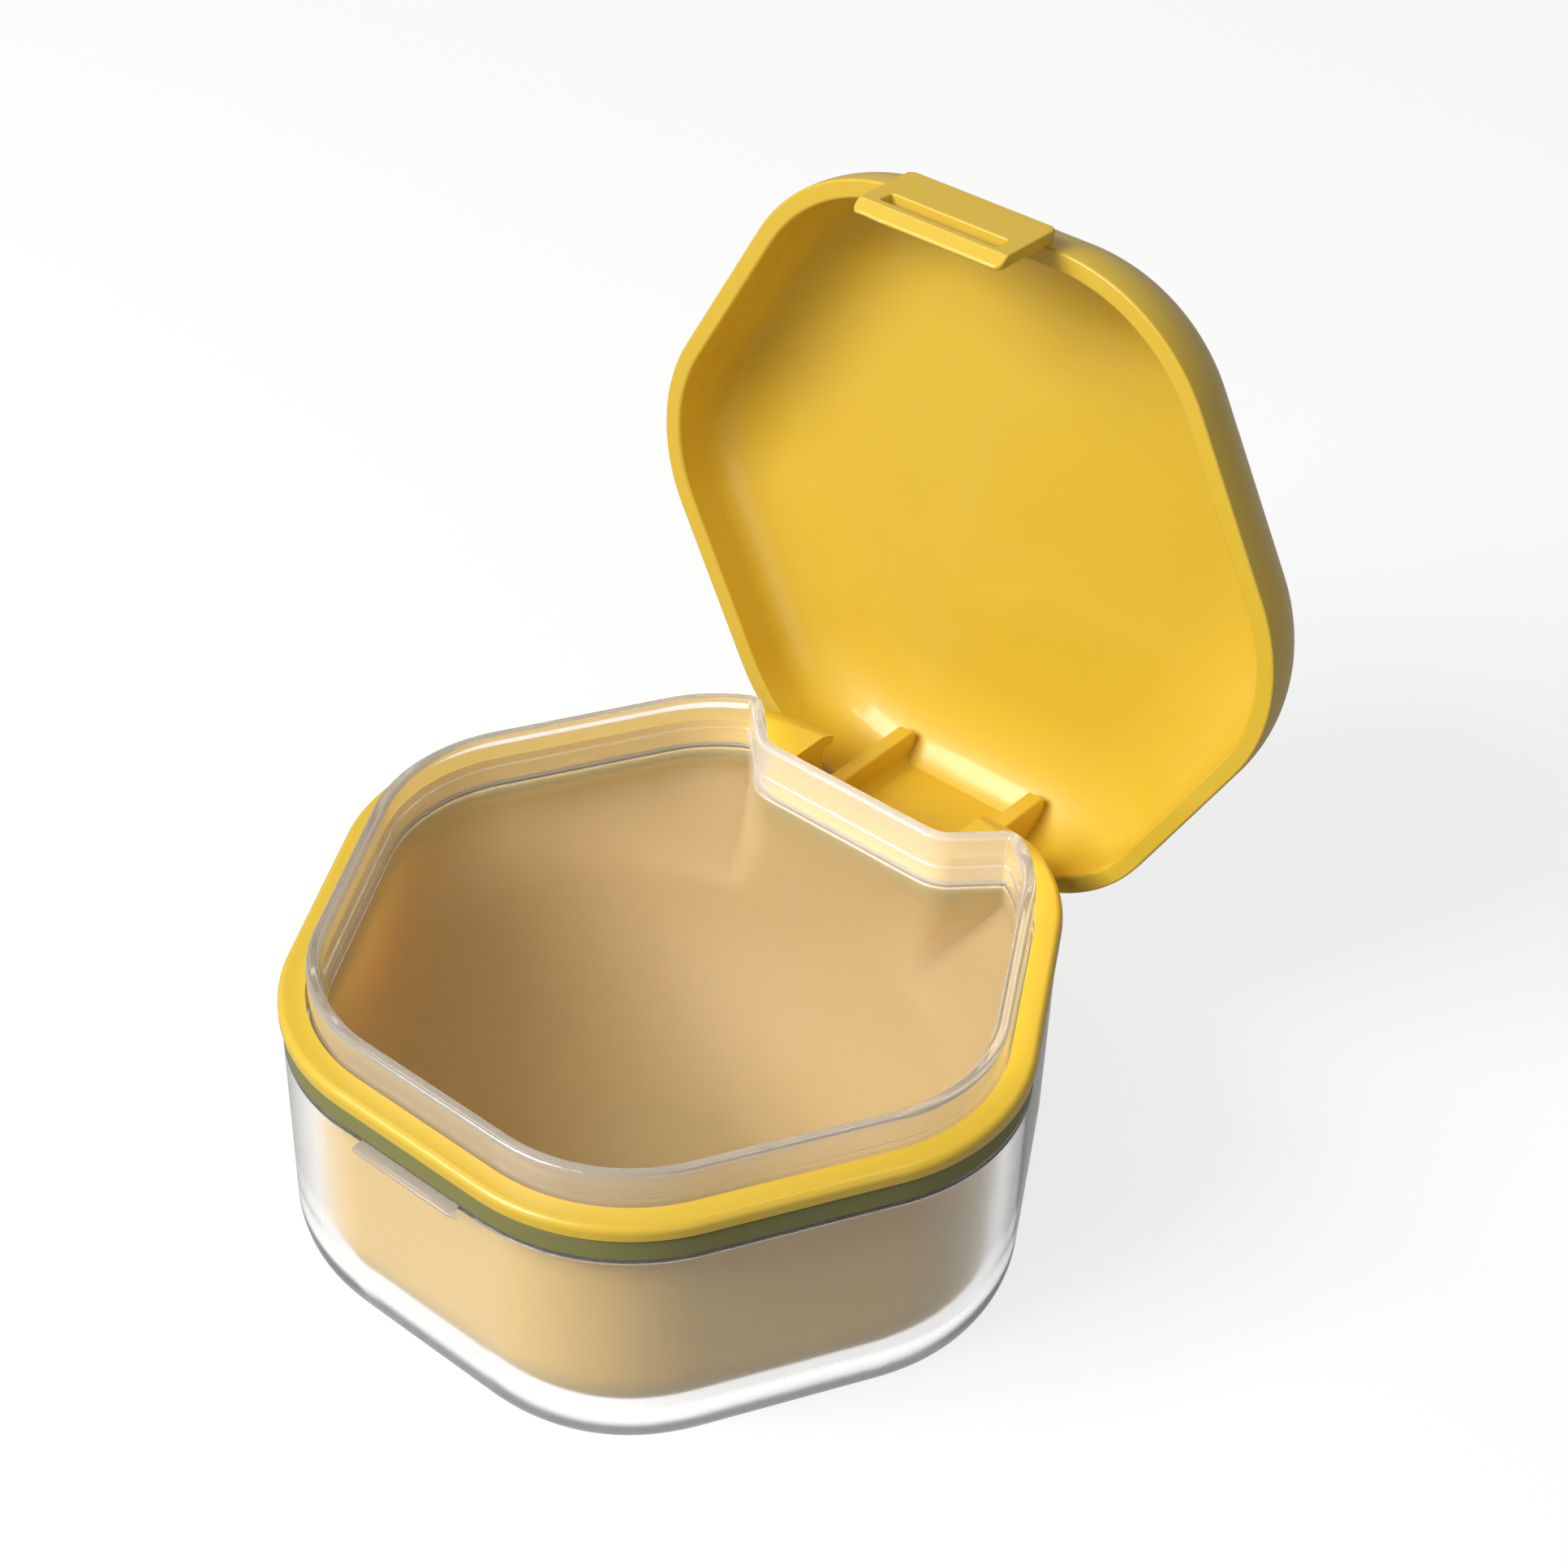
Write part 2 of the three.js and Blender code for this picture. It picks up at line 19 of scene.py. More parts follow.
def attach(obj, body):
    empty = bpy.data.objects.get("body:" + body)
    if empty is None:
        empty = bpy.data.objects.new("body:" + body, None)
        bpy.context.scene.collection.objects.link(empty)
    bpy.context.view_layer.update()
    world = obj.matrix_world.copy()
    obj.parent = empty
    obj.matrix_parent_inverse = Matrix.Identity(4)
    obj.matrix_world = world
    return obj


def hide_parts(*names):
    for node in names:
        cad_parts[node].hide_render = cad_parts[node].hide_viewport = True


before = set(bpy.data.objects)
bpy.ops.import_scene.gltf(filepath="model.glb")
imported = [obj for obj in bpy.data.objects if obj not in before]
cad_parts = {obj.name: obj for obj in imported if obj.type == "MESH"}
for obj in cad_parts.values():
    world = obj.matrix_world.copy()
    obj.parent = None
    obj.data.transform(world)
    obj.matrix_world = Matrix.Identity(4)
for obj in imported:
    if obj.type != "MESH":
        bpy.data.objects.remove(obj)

LOG = logging.getLogger("denture_case")
MM = 0.001
MERGE_DISTANCE = 0.001 * MM
LARGEST_SHARE_OF_A_SIDE = 0.48
QUARTER_TURN = math.pi / 2
EDGE_ANGLE = math.radians(32)
WHITE = (1.0, 1.0, 1.0, 1.0)

Section = list[Vector]
Place = tuple[float, float, float]
Colour = tuple[float, float, float]
Solid = bmesh.types.BMesh
Piece = bpy.types.Object
Socket = bpy.types.NodeSocket


class Join(Enum):
    """How one solid is combined with another."""

    ADD = "UNION"
    CUT = "DIFFERENCE"
    KEEP = "INTERSECT"


class Body(Enum):
    """The bodies of the frame that a piece can ride on."""

    BASE = "base"
    LID = "lid"
    LATCH = "latch"


class Pen:
    """Draws one open line in a bmesh by extruding and spinning its last vertex."""

    def __init__(self, x: float, y: float) -> None:
        """Starts the line at a point."""
        self.mesh = bmesh.new()
        self.tip = self.mesh.verts.new((x, y, 0))

    def lines(self, *corners: tuple[float, float]) -> None:
        """Draws straight stretches, one after the other.

        Args:
            *corners: Where the stretches end.
        """
        for corner in corners:
            made = bmesh.ops.extrude_vert_indiv(self.mesh, verts=[self.tip])
            self.tip = made["verts"][0]
            self.tip.co = (*corner, 0)

    def arc(self, centre: Vector, angle: float, steps: int) -> None:
        """Draws a round stretch.

        Args:
            centre: Centre of the arc.
            angle: Turn of the arc, anticlockwise, in radians.
            steps: Number of straight pieces in it.
        """
        made = bmesh.ops.spin(
            self.mesh, geom=[self.tip], cent=centre.to_3d(), axis=(0, 0, 1), angle=angle, steps=steps,
            use_merge=False, use_duplicate=False,
        )
        self.tip = made["geom_last"][0]

    def lift(self) -> list[Vector]:
        """Ends the line.

        Returns:
            Its points, in order.
        """
        points = [vert.co.xy for vert in self.mesh.verts]
        self.mesh.free()
        return points


def with_mirror(half: list[Vector]) -> list[Vector]:
    """Closes the right half of an outline with its mirror image."""
    return half + [Vector((-point.x, point.y)) for point in reversed(half)]


@dataclass(frozen=True)
class Plan:
    """The case seen from above: a hexagon with large round corners and a hinge recess in its back."""

    half_width: float = 48 * MM
    half_depth: float = 42.6 * MM
    flat_half_length: float = 24.1 * MM
    corner_radius: float = 23.8 * MM
    recess_floor: float = 34.05 * MM
    recess_half_width: float = 11.5 * MM
    recess_slope: float = math.radians(45)
    recess_edge_radius: float = 5.55 * MM
    recess_corner_radius: float = 0.5 * MM
    sharpest_radius: float = 0.3 * MM
    corner_steps: int = 20
    edge_steps: int = 10

    @property
    def facing(self) -> float:
        """Direction that the right front and back sides face, from +X."""
        return math.atan2(self.half_width - self.flat_half_length, self.half_depth)

    @property
    def outward(self) -> Vector:
        """Unit vector that points out of the right back side."""
        return Vector((math.cos(self.facing), math.sin(self.facing)))

    @property
    def flat_corner(self) -> Vector:
        """Centre of the round corner at the end of the back flat."""
        tangent = self.corner_radius * math.tan((QUARTER_TURN - self.facing) / 2)
        return Vector((self.flat_half_length - tangent, self.half_depth - self.corner_radius))

    @property
    def side_corner(self) -> Vector:
        """Centre of the round corner at the right side."""
        return Vector((self.half_width - self.corner_radius / math.cos(self.facing), 0))

    def _front_and_side(self, inset: float) -> Pen:
        """Draws the right half, from the front to where the round corner at the back starts.

        Args:
            inset: How far the outline is moved in.

        Returns:
            The pen, with the line still open.
        """
        radius = self.corner_radius - inset
        flat, side, outward = self.flat_corner, self.side_corner, self.outward
        pen = Pen(flat.x, -self.half_depth + inset)
        pen.arc(Vector((flat.x, -flat.y)), QUARTER_TURN - self.facing, self.corner_steps)
        pen.lines((side.x + radius * outward.x, -radius * outward.y))
        pen.arc(side, 2 * self.facing, self.corner_steps)
        pen.lines((flat.x + radius * outward.x, flat.y + radius * outward.y))
        return pen

    def full(self, inset: float) -> list[Vector]:
        """The whole outline, without the recess.

        Args:
            inset: How far the outline is moved in.

        Returns:
            Its points, anticlockwise from the front.
        """
        pen = self._front_and_side(inset)
        pen.arc(self.flat_corner, QUARTER_TURN - self.facing, self.corner_steps)
        return with_mirror(pen.lift())

    def recessed(self, inset: float) -> list[Vector]:
        """The outline with the hinge recess.

        Args:
            inset: How far the outline is moved in.

        Returns:
            Its points, anticlockwise from the front.
        """
        radius = self.corner_radius - inset
        edge = max(self.recess_edge_radius - inset, self.sharpest_radius)
        hollow = self.recess_corner_radius + inset
        slope = self.recess_slope
        foot = Vector((self.recess_half_width + inset * math.tan(slope / 2), self.recess_floor - inset))
        along = Vector((math.cos(slope), math.sin(slope)))
        start = foot + Vector((along.y, -along.x)) * edge - self.flat_corner
        half = start.dot(along)
        travel = -half + math.sqrt(half * half - start.length_squared + (radius - edge) ** 2)
        reach = start + along * travel
        meeting = math.atan2(reach.y, reach.x)
        hollow_centre = Vector((foot.x - hollow * math.tan(slope / 2), foot.y + hollow))
        low = slope - QUARTER_TURN
        pen = self._front_and_side(inset)
        pen.arc(self.flat_corner, meeting - self.facing, self.corner_steps)
        pen.arc(self.flat_corner + reach, QUARTER_TURN + slope - meeting, self.edge_steps)
        pen.lines((hollow_centre.x + hollow * math.cos(low), hollow_centre.y + hollow * math.sin(low)))
        pen.arc(hollow_centre, -slope, self.edge_steps)
        return with_mirror(pen.lift())

    def reach(self, direction: Vector, inset: float) -> float:
        """Distance from the middle to the whole outline.

        Args:
            direction: Unit vector from the middle.
            inset: How far the outline is moved in.

        Returns:
            The distance along the direction.
        """
        ray = Vector((abs(direction.x), abs(direction.y)))
        found = (self.outward.x * self.half_width - inset) / self.outward.dot(ray)
        if ray.y > 0:
            found = min(found, (self.half_depth - inset) / ray.y)
        corners = ((self.side_corner, 0.0, self.facing), (self.flat_corner, self.facing, QUARTER_TURN))
        for centre, low, high in corners:
            half = centre.dot(ray)
            inside = half * half - centre.length_squared + (self.corner_radius - inset) ** 2
            if inside <= 0:
                continue
            distance = half + math.sqrt(inside)
            there = ray * distance - centre
            if low <= math.atan2(there.y, there.x) <= high:
                found = min(found, distance)
        return found

    def foot(self, wall: list[Vector], inset: float) -> list[Vector]:
        """The whole outline moved in, with one point straight inside each point of a wall."""
        return [p.normalized() * self.reach(p.normalized(), inset) for p in wall]

    def egg(self, wall: list[Vector], inset: float) -> list[Vector]:
        """An egg shape that fits inside a wall, with one point straight inside each point of it.

        Args:
            wall: Points of the wall's outline.
            inset: How far the wall is moved in.

        Returns:
            The egg's points, in the wall's order.
        """
        front, back = self.half_depth - inset, self.recess_floor - inset
        to_side = self.half_width * math.cos(self.facing) - inset
        side = math.sqrt(to_side**2 - (front * math.sin(self.facing)) ** 2) / math.cos(self.facing)
        return [p / math.hypot(p.x / side, p.y / (front if p.y < 0 else back)) for p in wall]


def neighbours(items: list) -> list[tuple]:
    """Pairs each item of a closed line with the one after it."""
    return list(zip(items, items[1:] + items[:1]))


def subdivided(points: list[Vector], longest: float) -> list[Vector]:
    """Adds points to the long straight stretches of a closed outline.

    Args:
        points: Points of the outline.
        longest: Longest stretch that is left.

    Returns:
        The points with the added ones.
    """
    result = []
    for point, following in neighbours(points):
        pieces = max(math.ceil((following - point).length / longest), 1)
        result += [point.lerp(following, piece / pieces) for piece in range(pieces)]
    return result


def quarter(steps: int) -> list[float]:
    """Angles from zero to a quarter turn, with a number of even steps between them."""
    return [QUARTER_TURN * step / steps for step in range(steps + 1)]


def at_level(points: list[Vector], level: float) -> Section:
    """Lifts plan points to a level."""
    return [Vector((p.x, p.y, level)) for p in points]


def stacked(outline: Callable[[float], list[Vector]], profile: list[tuple[float, float]]) -> list[Section]:
    """Sections of an outline, one for each inset and level in a profile."""
    return [at_level(outline(inset), level) for inset, level in profile]


def solid_through(sections: list[Section], hoop: bool = False) -> Solid:
    """Draws a skin through closed sections, one after the other.

    Args:
        sections: The sections, with their points in the same order.
        hoop: Whether the last section meets the first one. If not, flat faces close both ends.

    Returns:
        The closed mesh.
    """
    mesh = bmesh.new()
    rim = [mesh.verts.new(point) for point in sections[0]]
    edges = [mesh.edges.new(pair) for pair in neighbours(rim)]
    if not hoop:
        bmesh.ops.contextual_create(mesh, geom=edges)
    for section in sections[1:] + sections[:int(hoop)]:
        made = bmesh.ops.extrude_edge_only(mesh, edges=edges)
        fresh = {item for item in made["geom"] if isinstance(item, bmesh.types.BMVert)}
        rim = [next(e.other_vert(v) for e in v.link_edges if e.other_vert(v) in fresh) for v in rim]
        edges = [mesh.edges.get(pair) for pair in neighbours(rim)]
        for vert, point in zip(rim, section):
            vert.co = point
    if not hoop:
        bmesh.ops.contextual_create(mesh, geom=edges)
    bmesh.ops.remove_doubles(mesh, verts=mesh.verts[:], dist=MERGE_DISTANCE)
    bmesh.ops.recalc_face_normals(mesh, faces=mesh.faces[:])
    return mesh


def prism(outline: list[Vector], low: float, high: float) -> Solid:
    """An upright solid with the same outline from a low level to a high one."""
    return solid_through([at_level(outline, level) for level in (low, high)])


def across(outline: Sequence[Sequence[float]], start: float, end: float) -> Solid:
    """A solid with a side profile, given as Y and Z, drawn along X between two ends."""
    return solid_through([[Vector((x, *point)) for point in outline] for x in sorted((start, end))])


def slab(low: Place, high: Place) -> Solid:
    """A box between two corners.

    Args:
        low: Lowest corner.
        high: Highest corner.

    Returns:
        The closed mesh.
    """
    mesh = bmesh.new()
    first, last = Vector(low), Vector(high)
    place = Matrix.Translation((first + last) / 2) @ Matrix.Diagonal((*(last - first), 1))
    bmesh.ops.create_cube(mesh, size=1, matrix=place)
    return mesh


def rod(radius: float, half_length: float, centre: Vector, segments: int = 64) -> Solid:
    """A cylinder along X.

    Args:
        radius: Radius of the rod.
        half_length: Half of its length.
        centre: Its middle.
        segments: Number of sides.

    Returns:
        The closed mesh.
    """
    mesh = bmesh.new()
    place = Matrix.Translation(centre) @ Matrix.Rotation(QUARTER_TURN, 4, "Y")
    bmesh.ops.create_cone(
        mesh, cap_ends=True, cap_tris=False, segments=segments, radius1=radius, radius2=radius,
        depth=2 * half_length, matrix=place,
    )
    return mesh


@dataclass(frozen=True)
class Corner:
    """A corner of a wall's cross-section."""

    inset: float
    level: float
    radius: float = 0.15 * MM

    @property
    def point(self) -> Vector:
        """Inset and level as one point."""
        return Vector((self.inset, self.level))


def rounded(corners: list[Corner], closed: bool = False, steps: int = 4) -> list[tuple[float, float]]:
    """Rounds the corners of a cross-section.

    Args:
        corners: The corners, in order.
        closed: Whether the last corner is followed by the first. If not, these two only end the first side
            and the last, and are left out.
        steps: Number of straight pieces in each round.

    Returns:
        Inset and level of each point of the rounded cross-section.
    """
    points = []
    ends = () if closed else (0, len(corners) - 1)
    for index, corner in enumerate(corners):
        if index in ends:
            continue
        here = corner.point
        back = corners[index - 1].point - here
        ahead = corners[(index + 1) % len(corners)].point - here
        opening = back.angle(ahead)
        longest = (LARGEST_SHARE_OF_A_SIDE * side.length for side in (back, ahead))
        run = min(corner.radius / math.tan(opening / 2), *longest)
        middle = here + (back.normalized() + ahead.normalized()).normalized() * (run / math.cos(opening / 2))
        first = here + back.normalized() * run - middle
        swing = first.angle_signed(here + ahead.normalized() * run - middle)
        for step in range(steps + 1):
            spoke = first.copy()
            spoke.rotate(Matrix.Rotation(-swing * step / steps, 2))
            points.append(tuple(middle + spoke))
    return points


def in_scene(name: str, data: bpy.types.ID) -> Piece:
    """Puts a new object in the scene.

    Args:
        name: Its name.
        data: Its mesh, lamp or camera.

    Returns:
        The new object.
    """
    thing = bpy.data.objects.new(name, data)
    bpy.context.scene.collection.objects.link(thing)
    return thing


def with_mesh(name: str, mesh: Solid) -> Piece:
    """Puts a new object with a mesh in the scene.

    Args:
        name: Its name.
        mesh: Its mesh, which is freed.

    Returns:
        The new object.
    """
    data = bpy.data.meshes.new(name)
    mesh.to_mesh(data)
    mesh.free()
    return in_scene(name, data)


def combined(base: Solid, *steps: tuple[Join, Solid]) -> Solid:
    """Joins, cuts or crosses a solid with others, one after the other.

    Args:
        base: The solid that is worked on.
        *steps: Each operation with the solid that it uses.

    Returns:
        The resulting mesh. All the others are freed.
    """
    for how, tool in steps:
        objects = [with_mesh("blank", base), with_mesh("tool", tool)]
        cut = objects[0].modifiers.new("combine", "BOOLEAN")
        cut.operation = how.value
        cut.solver = "EXACT"
        cut.object = objects[1]
        depsgraph = bpy.context.evaluated_depsgraph_get()
        base = bmesh.new()
        base.from_mesh(objects[0].evaluated_get(depsgraph).to_mesh())
        for thing in objects:
            data = thing.data
            bpy.data.objects.remove(thing)
            bpy.data.meshes.remove(data)
    return base


def mark(mesh: Solid, chosen: Callable[[bmesh.types.BMFace, Vector], bool]) -> None:
    """Gives the faces that are chosen, by the face and its centre, the second finish."""
    for face in mesh.faces:
        face.material_index = int(chosen(face, face.calc_center_median()))


class Nodes:
    """Short cuts for building one node tree."""

    def __init__(self, tree: bpy.types.NodeTree) -> None:
        """Takes hold of the tree that nodes are added to."""
        self.tree = tree

    def feed(self, target: Socket, source: object) -> None:
        """Links an input to an output, or sets its own value.

        Args:
            target: The input.
            source: An output, or a plain value.
        """
        if isinstance(source, Socket):
            self.tree.links.new(source, target)
        else:
            target.default_value = source

    def add(
        self, kind: str, inputs: dict[str | int, object] | None = None, **settings: object
    ) -> bpy.types.Node:
        """Adds a node.

        Args:
            kind: Type of the node.
            inputs: What feeds its inputs, by their names or numbers.
            **settings: Its properties.

        Returns:
            The new node.
        """
        node = self.tree.nodes.new(kind)
        for name, value in settings.items():
            setattr(node, name, value)
        for key, source in (inputs or {}).items():
            self.feed(node.inputs[key], source)
        return node

    def calculated(self, operation: str, *terms: object) -> Socket:
        """Adds a math node with its terms in order, and returns its output."""
        return self.add("ShaderNodeMath", dict(enumerate(terms)), operation=operation).outputs[0]

    def mixed(self, share: Socket, first: Socket, second: Socket) -> Socket:
        """Adds a node that mixes two shaders, and returns its output."""
        return self.add("ShaderNodeMixShader", {"Fac": share, 1: first, 2: second}).outputs[0]


class MouldedSurface:
    """Group for moulded plastic: cloudy colour, faint flow marks and a fine texture on the surface."""

    NAME = "moulded_surface"
    SOCKETS = (
        ("INPUT", "NodeSocketColor", ("Colour", "Depth Colour")),
        ("INPUT", "NodeSocketFloat", ("Clouding", "Cloud Scale", "Grain Scale")),
        ("INPUT", "NodeSocketFloat", ("Roughness", "Roughness Spread", "Grain Height")),
        ("OUTPUT", "NodeSocketColor", ("Colour",)),
        ("OUTPUT", "NodeSocketFloat", ("Roughness",)),
        ("OUTPUT", "NodeSocketVector", ("Normal",)),
    )
    CLOUD_DETAIL = 3
    GRAIN_DETAIL = 2
    GRAIN_DEPTH = 0.02 * MM
    MEAN_CLOUD = 0.5

    @classmethod
    def group(cls) -> bpy.types.NodeTree:
        """Returns the node group, which is built once."""
        return bpy.data.node_groups.get(cls.NAME) or cls._build()

    @classmethod
    def _build(cls) -> bpy.types.NodeTree:
        """Builds the node group.

        Returns:
            The group's tree.
        """
        tree = bpy.data.node_groups.new(cls.NAME, "ShaderNodeTree")
        for end, kind, names in cls.SOCKETS:
            for name in names:
                tree.interface.new_socket(name, in_out=end, socket_type=kind)
        make = Nodes(tree)
        given = make.add("NodeGroupInput").outputs
        place = make.add("ShaderNodeTexCoord").outputs["Object"]
        cloud, grain = (
            make.add("ShaderNodeTexNoise", {
                "Vector": place, "Scale": given[scale], "Detail": detail,
            }).outputs["Fac"]
            for scale, detail in (("Cloud Scale", cls.CLOUD_DETAIL), ("Grain Scale", cls.GRAIN_DETAIL))
        )
        amount = make.calculated("MULTIPLY", cloud, given["Clouding"])
        tint = make.add("ShaderNodeMix", {
            "Factor": amount, "A": given["Colour"], "B": given["Depth Colour"],
        }, data_type="RGBA")
        centred = make.calculated("SUBTRACT", cloud, cls.MEAN_CLOUD)
        gloss = make.calculated("MULTIPLY_ADD", centred, given["Roughness Spread"], given["Roughness"])
        bump = make.add("ShaderNodeBump", {
            "Distance": cls.GRAIN_DEPTH, "Height": grain, "Strength": given["Grain Height"],
        })
        make.add("NodeGroupOutput", {
            "Colour": tint.outputs["Result"], "Roughness": gloss, "Normal": bump.outputs["Normal"],
        })
        return tree


@dataclass(frozen=True)
class Finish:
    """A moulded plastic or rubber finish."""

    SCATTER_BY_CHANNEL: ClassVar[Colour] = (1.0, 0.9, 0.7)

    name: str
    slot: str
    colour: Colour
    depth_colour: Colour
    roughness: float
    clouding: float = 0.3
    cloud_scale: float = 30.0
    grain_scale: float = 900.0
    grain_height: float = 0.1
    roughness_spread: float = 0.08
    subsurface: float = 0.0
    subsurface_radius: float = 2 * MM
    coat: float = 0.0
    coat_roughness: float = 0.04
    ior: float = 1.5
    specular: float = 0.5

    def _shader(self, make: Nodes, special: dict[str, float] | None = None) -> Socket:
        """Adds the shader and the group that feeds it.

        Args:
            make: The tree of the material.
            special: Inputs of the shader that only this kind of finish sets.

        Returns:
            The shader's output.
        """
        surface = make.add("ShaderNodeGroup", {
            "Colour": (*self.colour, 1), "Depth Colour": (*self.depth_colour, 1), "Clouding": self.clouding,
            "Cloud Scale": self.cloud_scale, "Grain Scale": self.grain_scale, "Roughness": self.roughness,
            "Roughness Spread": self.roughness_spread, "Grain Height": self.grain_height,
        }, node_tree=MouldedSurface.group()).outputs
        return make.add("ShaderNodeBsdfPrincipled", {
            "Base Color": surface["Colour"], "Roughness": surface["Roughness"], "Normal": surface["Normal"],
            "IOR": self.ior, "Specular IOR Level": self.specular, "Subsurface Weight": self.subsurface,
            "Subsurface Radius": self.SCATTER_BY_CHANNEL, "Subsurface Scale": self.subsurface_radius,
            "Coat Weight": self.coat, "Coat Roughness": self.coat_roughness, **(special or {}),
        }).outputs["BSDF"]

    def _surface(self, make: Nodes) -> Socket:
        """Adds all that the material shows, and returns its output."""
        return self._shader(make)

    def material(self) -> bpy.types.Material:
        """Gives the material, which is built once.

        Returns:
            The material.
        """
        found = bpy.data.materials.get(self.name)
        if found:
            return found
        made = bpy.data.materials.new(self.name)
        made.use_nodes = True
        made.node_tree.nodes.clear()
        make = Nodes(made.node_tree)
        make.add("ShaderNodeOutputMaterial", {"Surface": self._surface(make)})
        return made


@dataclass(frozen=True)
class ClearFinish(Finish):
    """Clear moulded plastic, which lets the lamps reach what is behind it."""

    clouding: float = 0.5
    grain_height: float = 0.02
    roughness_spread: float = 0.03
    pass_tint: Colour = (0.96, 0.96, 0.95)
    haze: float = 0.1

    def _surface(self, make: Nodes) -> Socket:
        """Adds the shader, and the plain tint that shadow rays see.

        Args:
            make: The tree of the material.

        Returns:
            The mix of both.
        """
        plastic = self._shader(make, {"Transmission Weight": 1.0 - self.haze})
        through = make.add("ShaderNodeBsdfTransparent", {"Color": (*self.pass_tint, 1)}).outputs["BSDF"]
        shadow = make.add("ShaderNodeLightPath").outputs["Is Shadow Ray"]
        return make.mixed(shadow, plastic, through)


@dataclass(frozen=True)
class MetalFinish(Finish):
    """Plain drawn metal."""

    def _surface(self, make: Nodes) -> Socket:
        """Adds the metal shader, and returns its output."""
        return self._shader(make, {"Metallic": 1.0})


YELLOW = Finish(
    "yellow_moulding", "yellow_plastic", (0.765, 0.515, 0.038), (0.72, 0.47, 0.03), roughness=0.42,
    coat=0.4, coat_roughness=0.13,
)
TAN = Finish(
    "tan_frosted_moulding", "tan_plastic", (0.53, 0.365, 0.112), (0.49, 0.33, 0.092), roughness=0.5,
    clouding=0.4, cloud_scale=18.0, grain_height=0.02, subsurface=0.9, subsurface_radius=5 * MM,
    specular=0.3,
)
TAN_INSIDE = Finish(
    "tan_frosted_inside", "tan_plastic", (0.59, 0.43, 0.215), (0.52, 0.375, 0.17), roughness=0.6,
    clouding=0.6, cloud_scale=22.0, grain_height=0.02, subsurface=0.9, subsurface_radius=8 * MM,
    specular=0.3,
)
OLIVE = Finish(
    "olive_seal_rubber", "olive_seal", (0.24, 0.235, 0.085), (0.20, 0.195, 0.065), roughness=0.6,
    clouding=0.4, grain_height=0.2, specular=0.3,
)
CLEAR = ClearFinish(
    "clear_moulding", "clear_plastic", (0.985, 0.985, 0.98), (0.97, 0.97, 0.96), roughness=0.12,
    ior=1.42, coat=0.2, haze=0.02,
)
CLEAR_WARM = ClearFinish(
    "clear_neck_moulding", "clear_plastic", (0.985, 0.955, 0.895), (0.97, 0.935, 0.865), roughness=0.12,
    ior=1.36, coat=0.8, haze=0.16,
)
# Painted sheen: a hazier copy of the clear neck plastic for the collar's back round the hinge recess, so that
# it shows whiter where the light falls.
CLEAR_PAINTED_SHEEN = ClearFinish(
    "neck_painted_sheen_moulding", "clear_plastic", (0.985, 0.955, 0.905), (0.97, 0.935, 0.875), roughness=0.18,
    ior=1.4, coat=0.5, haze=0.3,
)
FROSTED = ClearFinish(
    "frosted_catch_moulding", "clear_plastic", (0.77, 0.68, 0.57), (0.72, 0.64, 0.53), roughness=0.3,
    roughness_spread=0.08, ior=1.4, coat=0.6, haze=0.5,
)
STEEL = MetalFinish(
    "pin_steel", "pin_steel", (0.62, 0.62, 0.62), (0.5, 0.5, 0.5), roughness=0.28, clouding=0.5,
    grain_scale=1600.0, roughness_spread=0.15,
)


def place_piece(
    name: str, mesh: Solid, finishes: tuple[Finish, ...], body: Body, node: str, bevel: float = 0.0
) -> Piece:
    """Makes an object of a finished mesh, in the place of a node.

    Args:
        name: Name of the piece.
        mesh: Its mesh, in place, which is freed.
        finishes: Its finish, and the one of its marked faces if it has any. Both are in the same slot.
        body: The body that it rides on.
        node: The node that it replaces.
        bevel: Width of the small bevel on its sharp edges, or zero.

    Returns:
        The new object.
    """
    piece = with_mesh(name, mesh)
    piece.data.shade_smooth()
    for finish in finishes:
        piece.data.materials.append(finish.material())
    if bevel:
        edges = piece.modifiers.new("edges", "BEVEL")
        edges.width = bevel
        edges.segments = 2
        edges.limit_method = "ANGLE"
        edges.angle_limit = EDGE_ANGLE
        edges.use_clamp_overlap = True
        edges.miter_outer = "MITER_ARC"
    shading = piece.modifiers.new("shading", "WEIGHTED_NORMAL")
    shading.keep_sharp = True
    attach(piece, body.value)
    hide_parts(node)
    return piece


@dataclass(frozen=True)
class Levels:
    """Heights and insets that several pieces share."""

    ring_top: float = 38.8 * MM
    flange_bottom: float = 36.9 * MM
    shell_top: float = 33.5 * MM
    skirt_bottom: float = 35.4 * MM
    gap: float = 0.3 * MM
    tight: float = 0.05 * MM
    shell_inset: float = 0.3 * MM
    neck_inset: float = 3.35 * MM
    bore_inset: float = 4.95 * MM
    skirt_inset: float = 1.95 * MM
    lip_inset: float = 4.35 * MM
    hinge_y: float = 37.4 * MM
    hinge_z: float = 30.6 * MM
    pin_radius: float = 1.2 * MM
    pin_gap: float = 0.06 * MM
    overrun: float = 20 * MM
    lid_rim: float = 39.1 * MM
    lid_bore_inset: float = 2.8 * MM

    @property
    def hinge(self) -> Vector:
        """Middle of the hinge axis."""
        return Vector((0, self.hinge_y, self.hinge_z))

    @property
    def axle(self) -> Vector:
        """The hinge axis in a side profile."""
        return Vector((self.hinge_y, self.hinge_z))

    @property
    def ring_middle(self) -> float:
        """Level halfway up the ring's flange."""
        return (self.flange_bottom + self.ring_top) / 2


PLAN = Plan()
LEVELS = Levels()


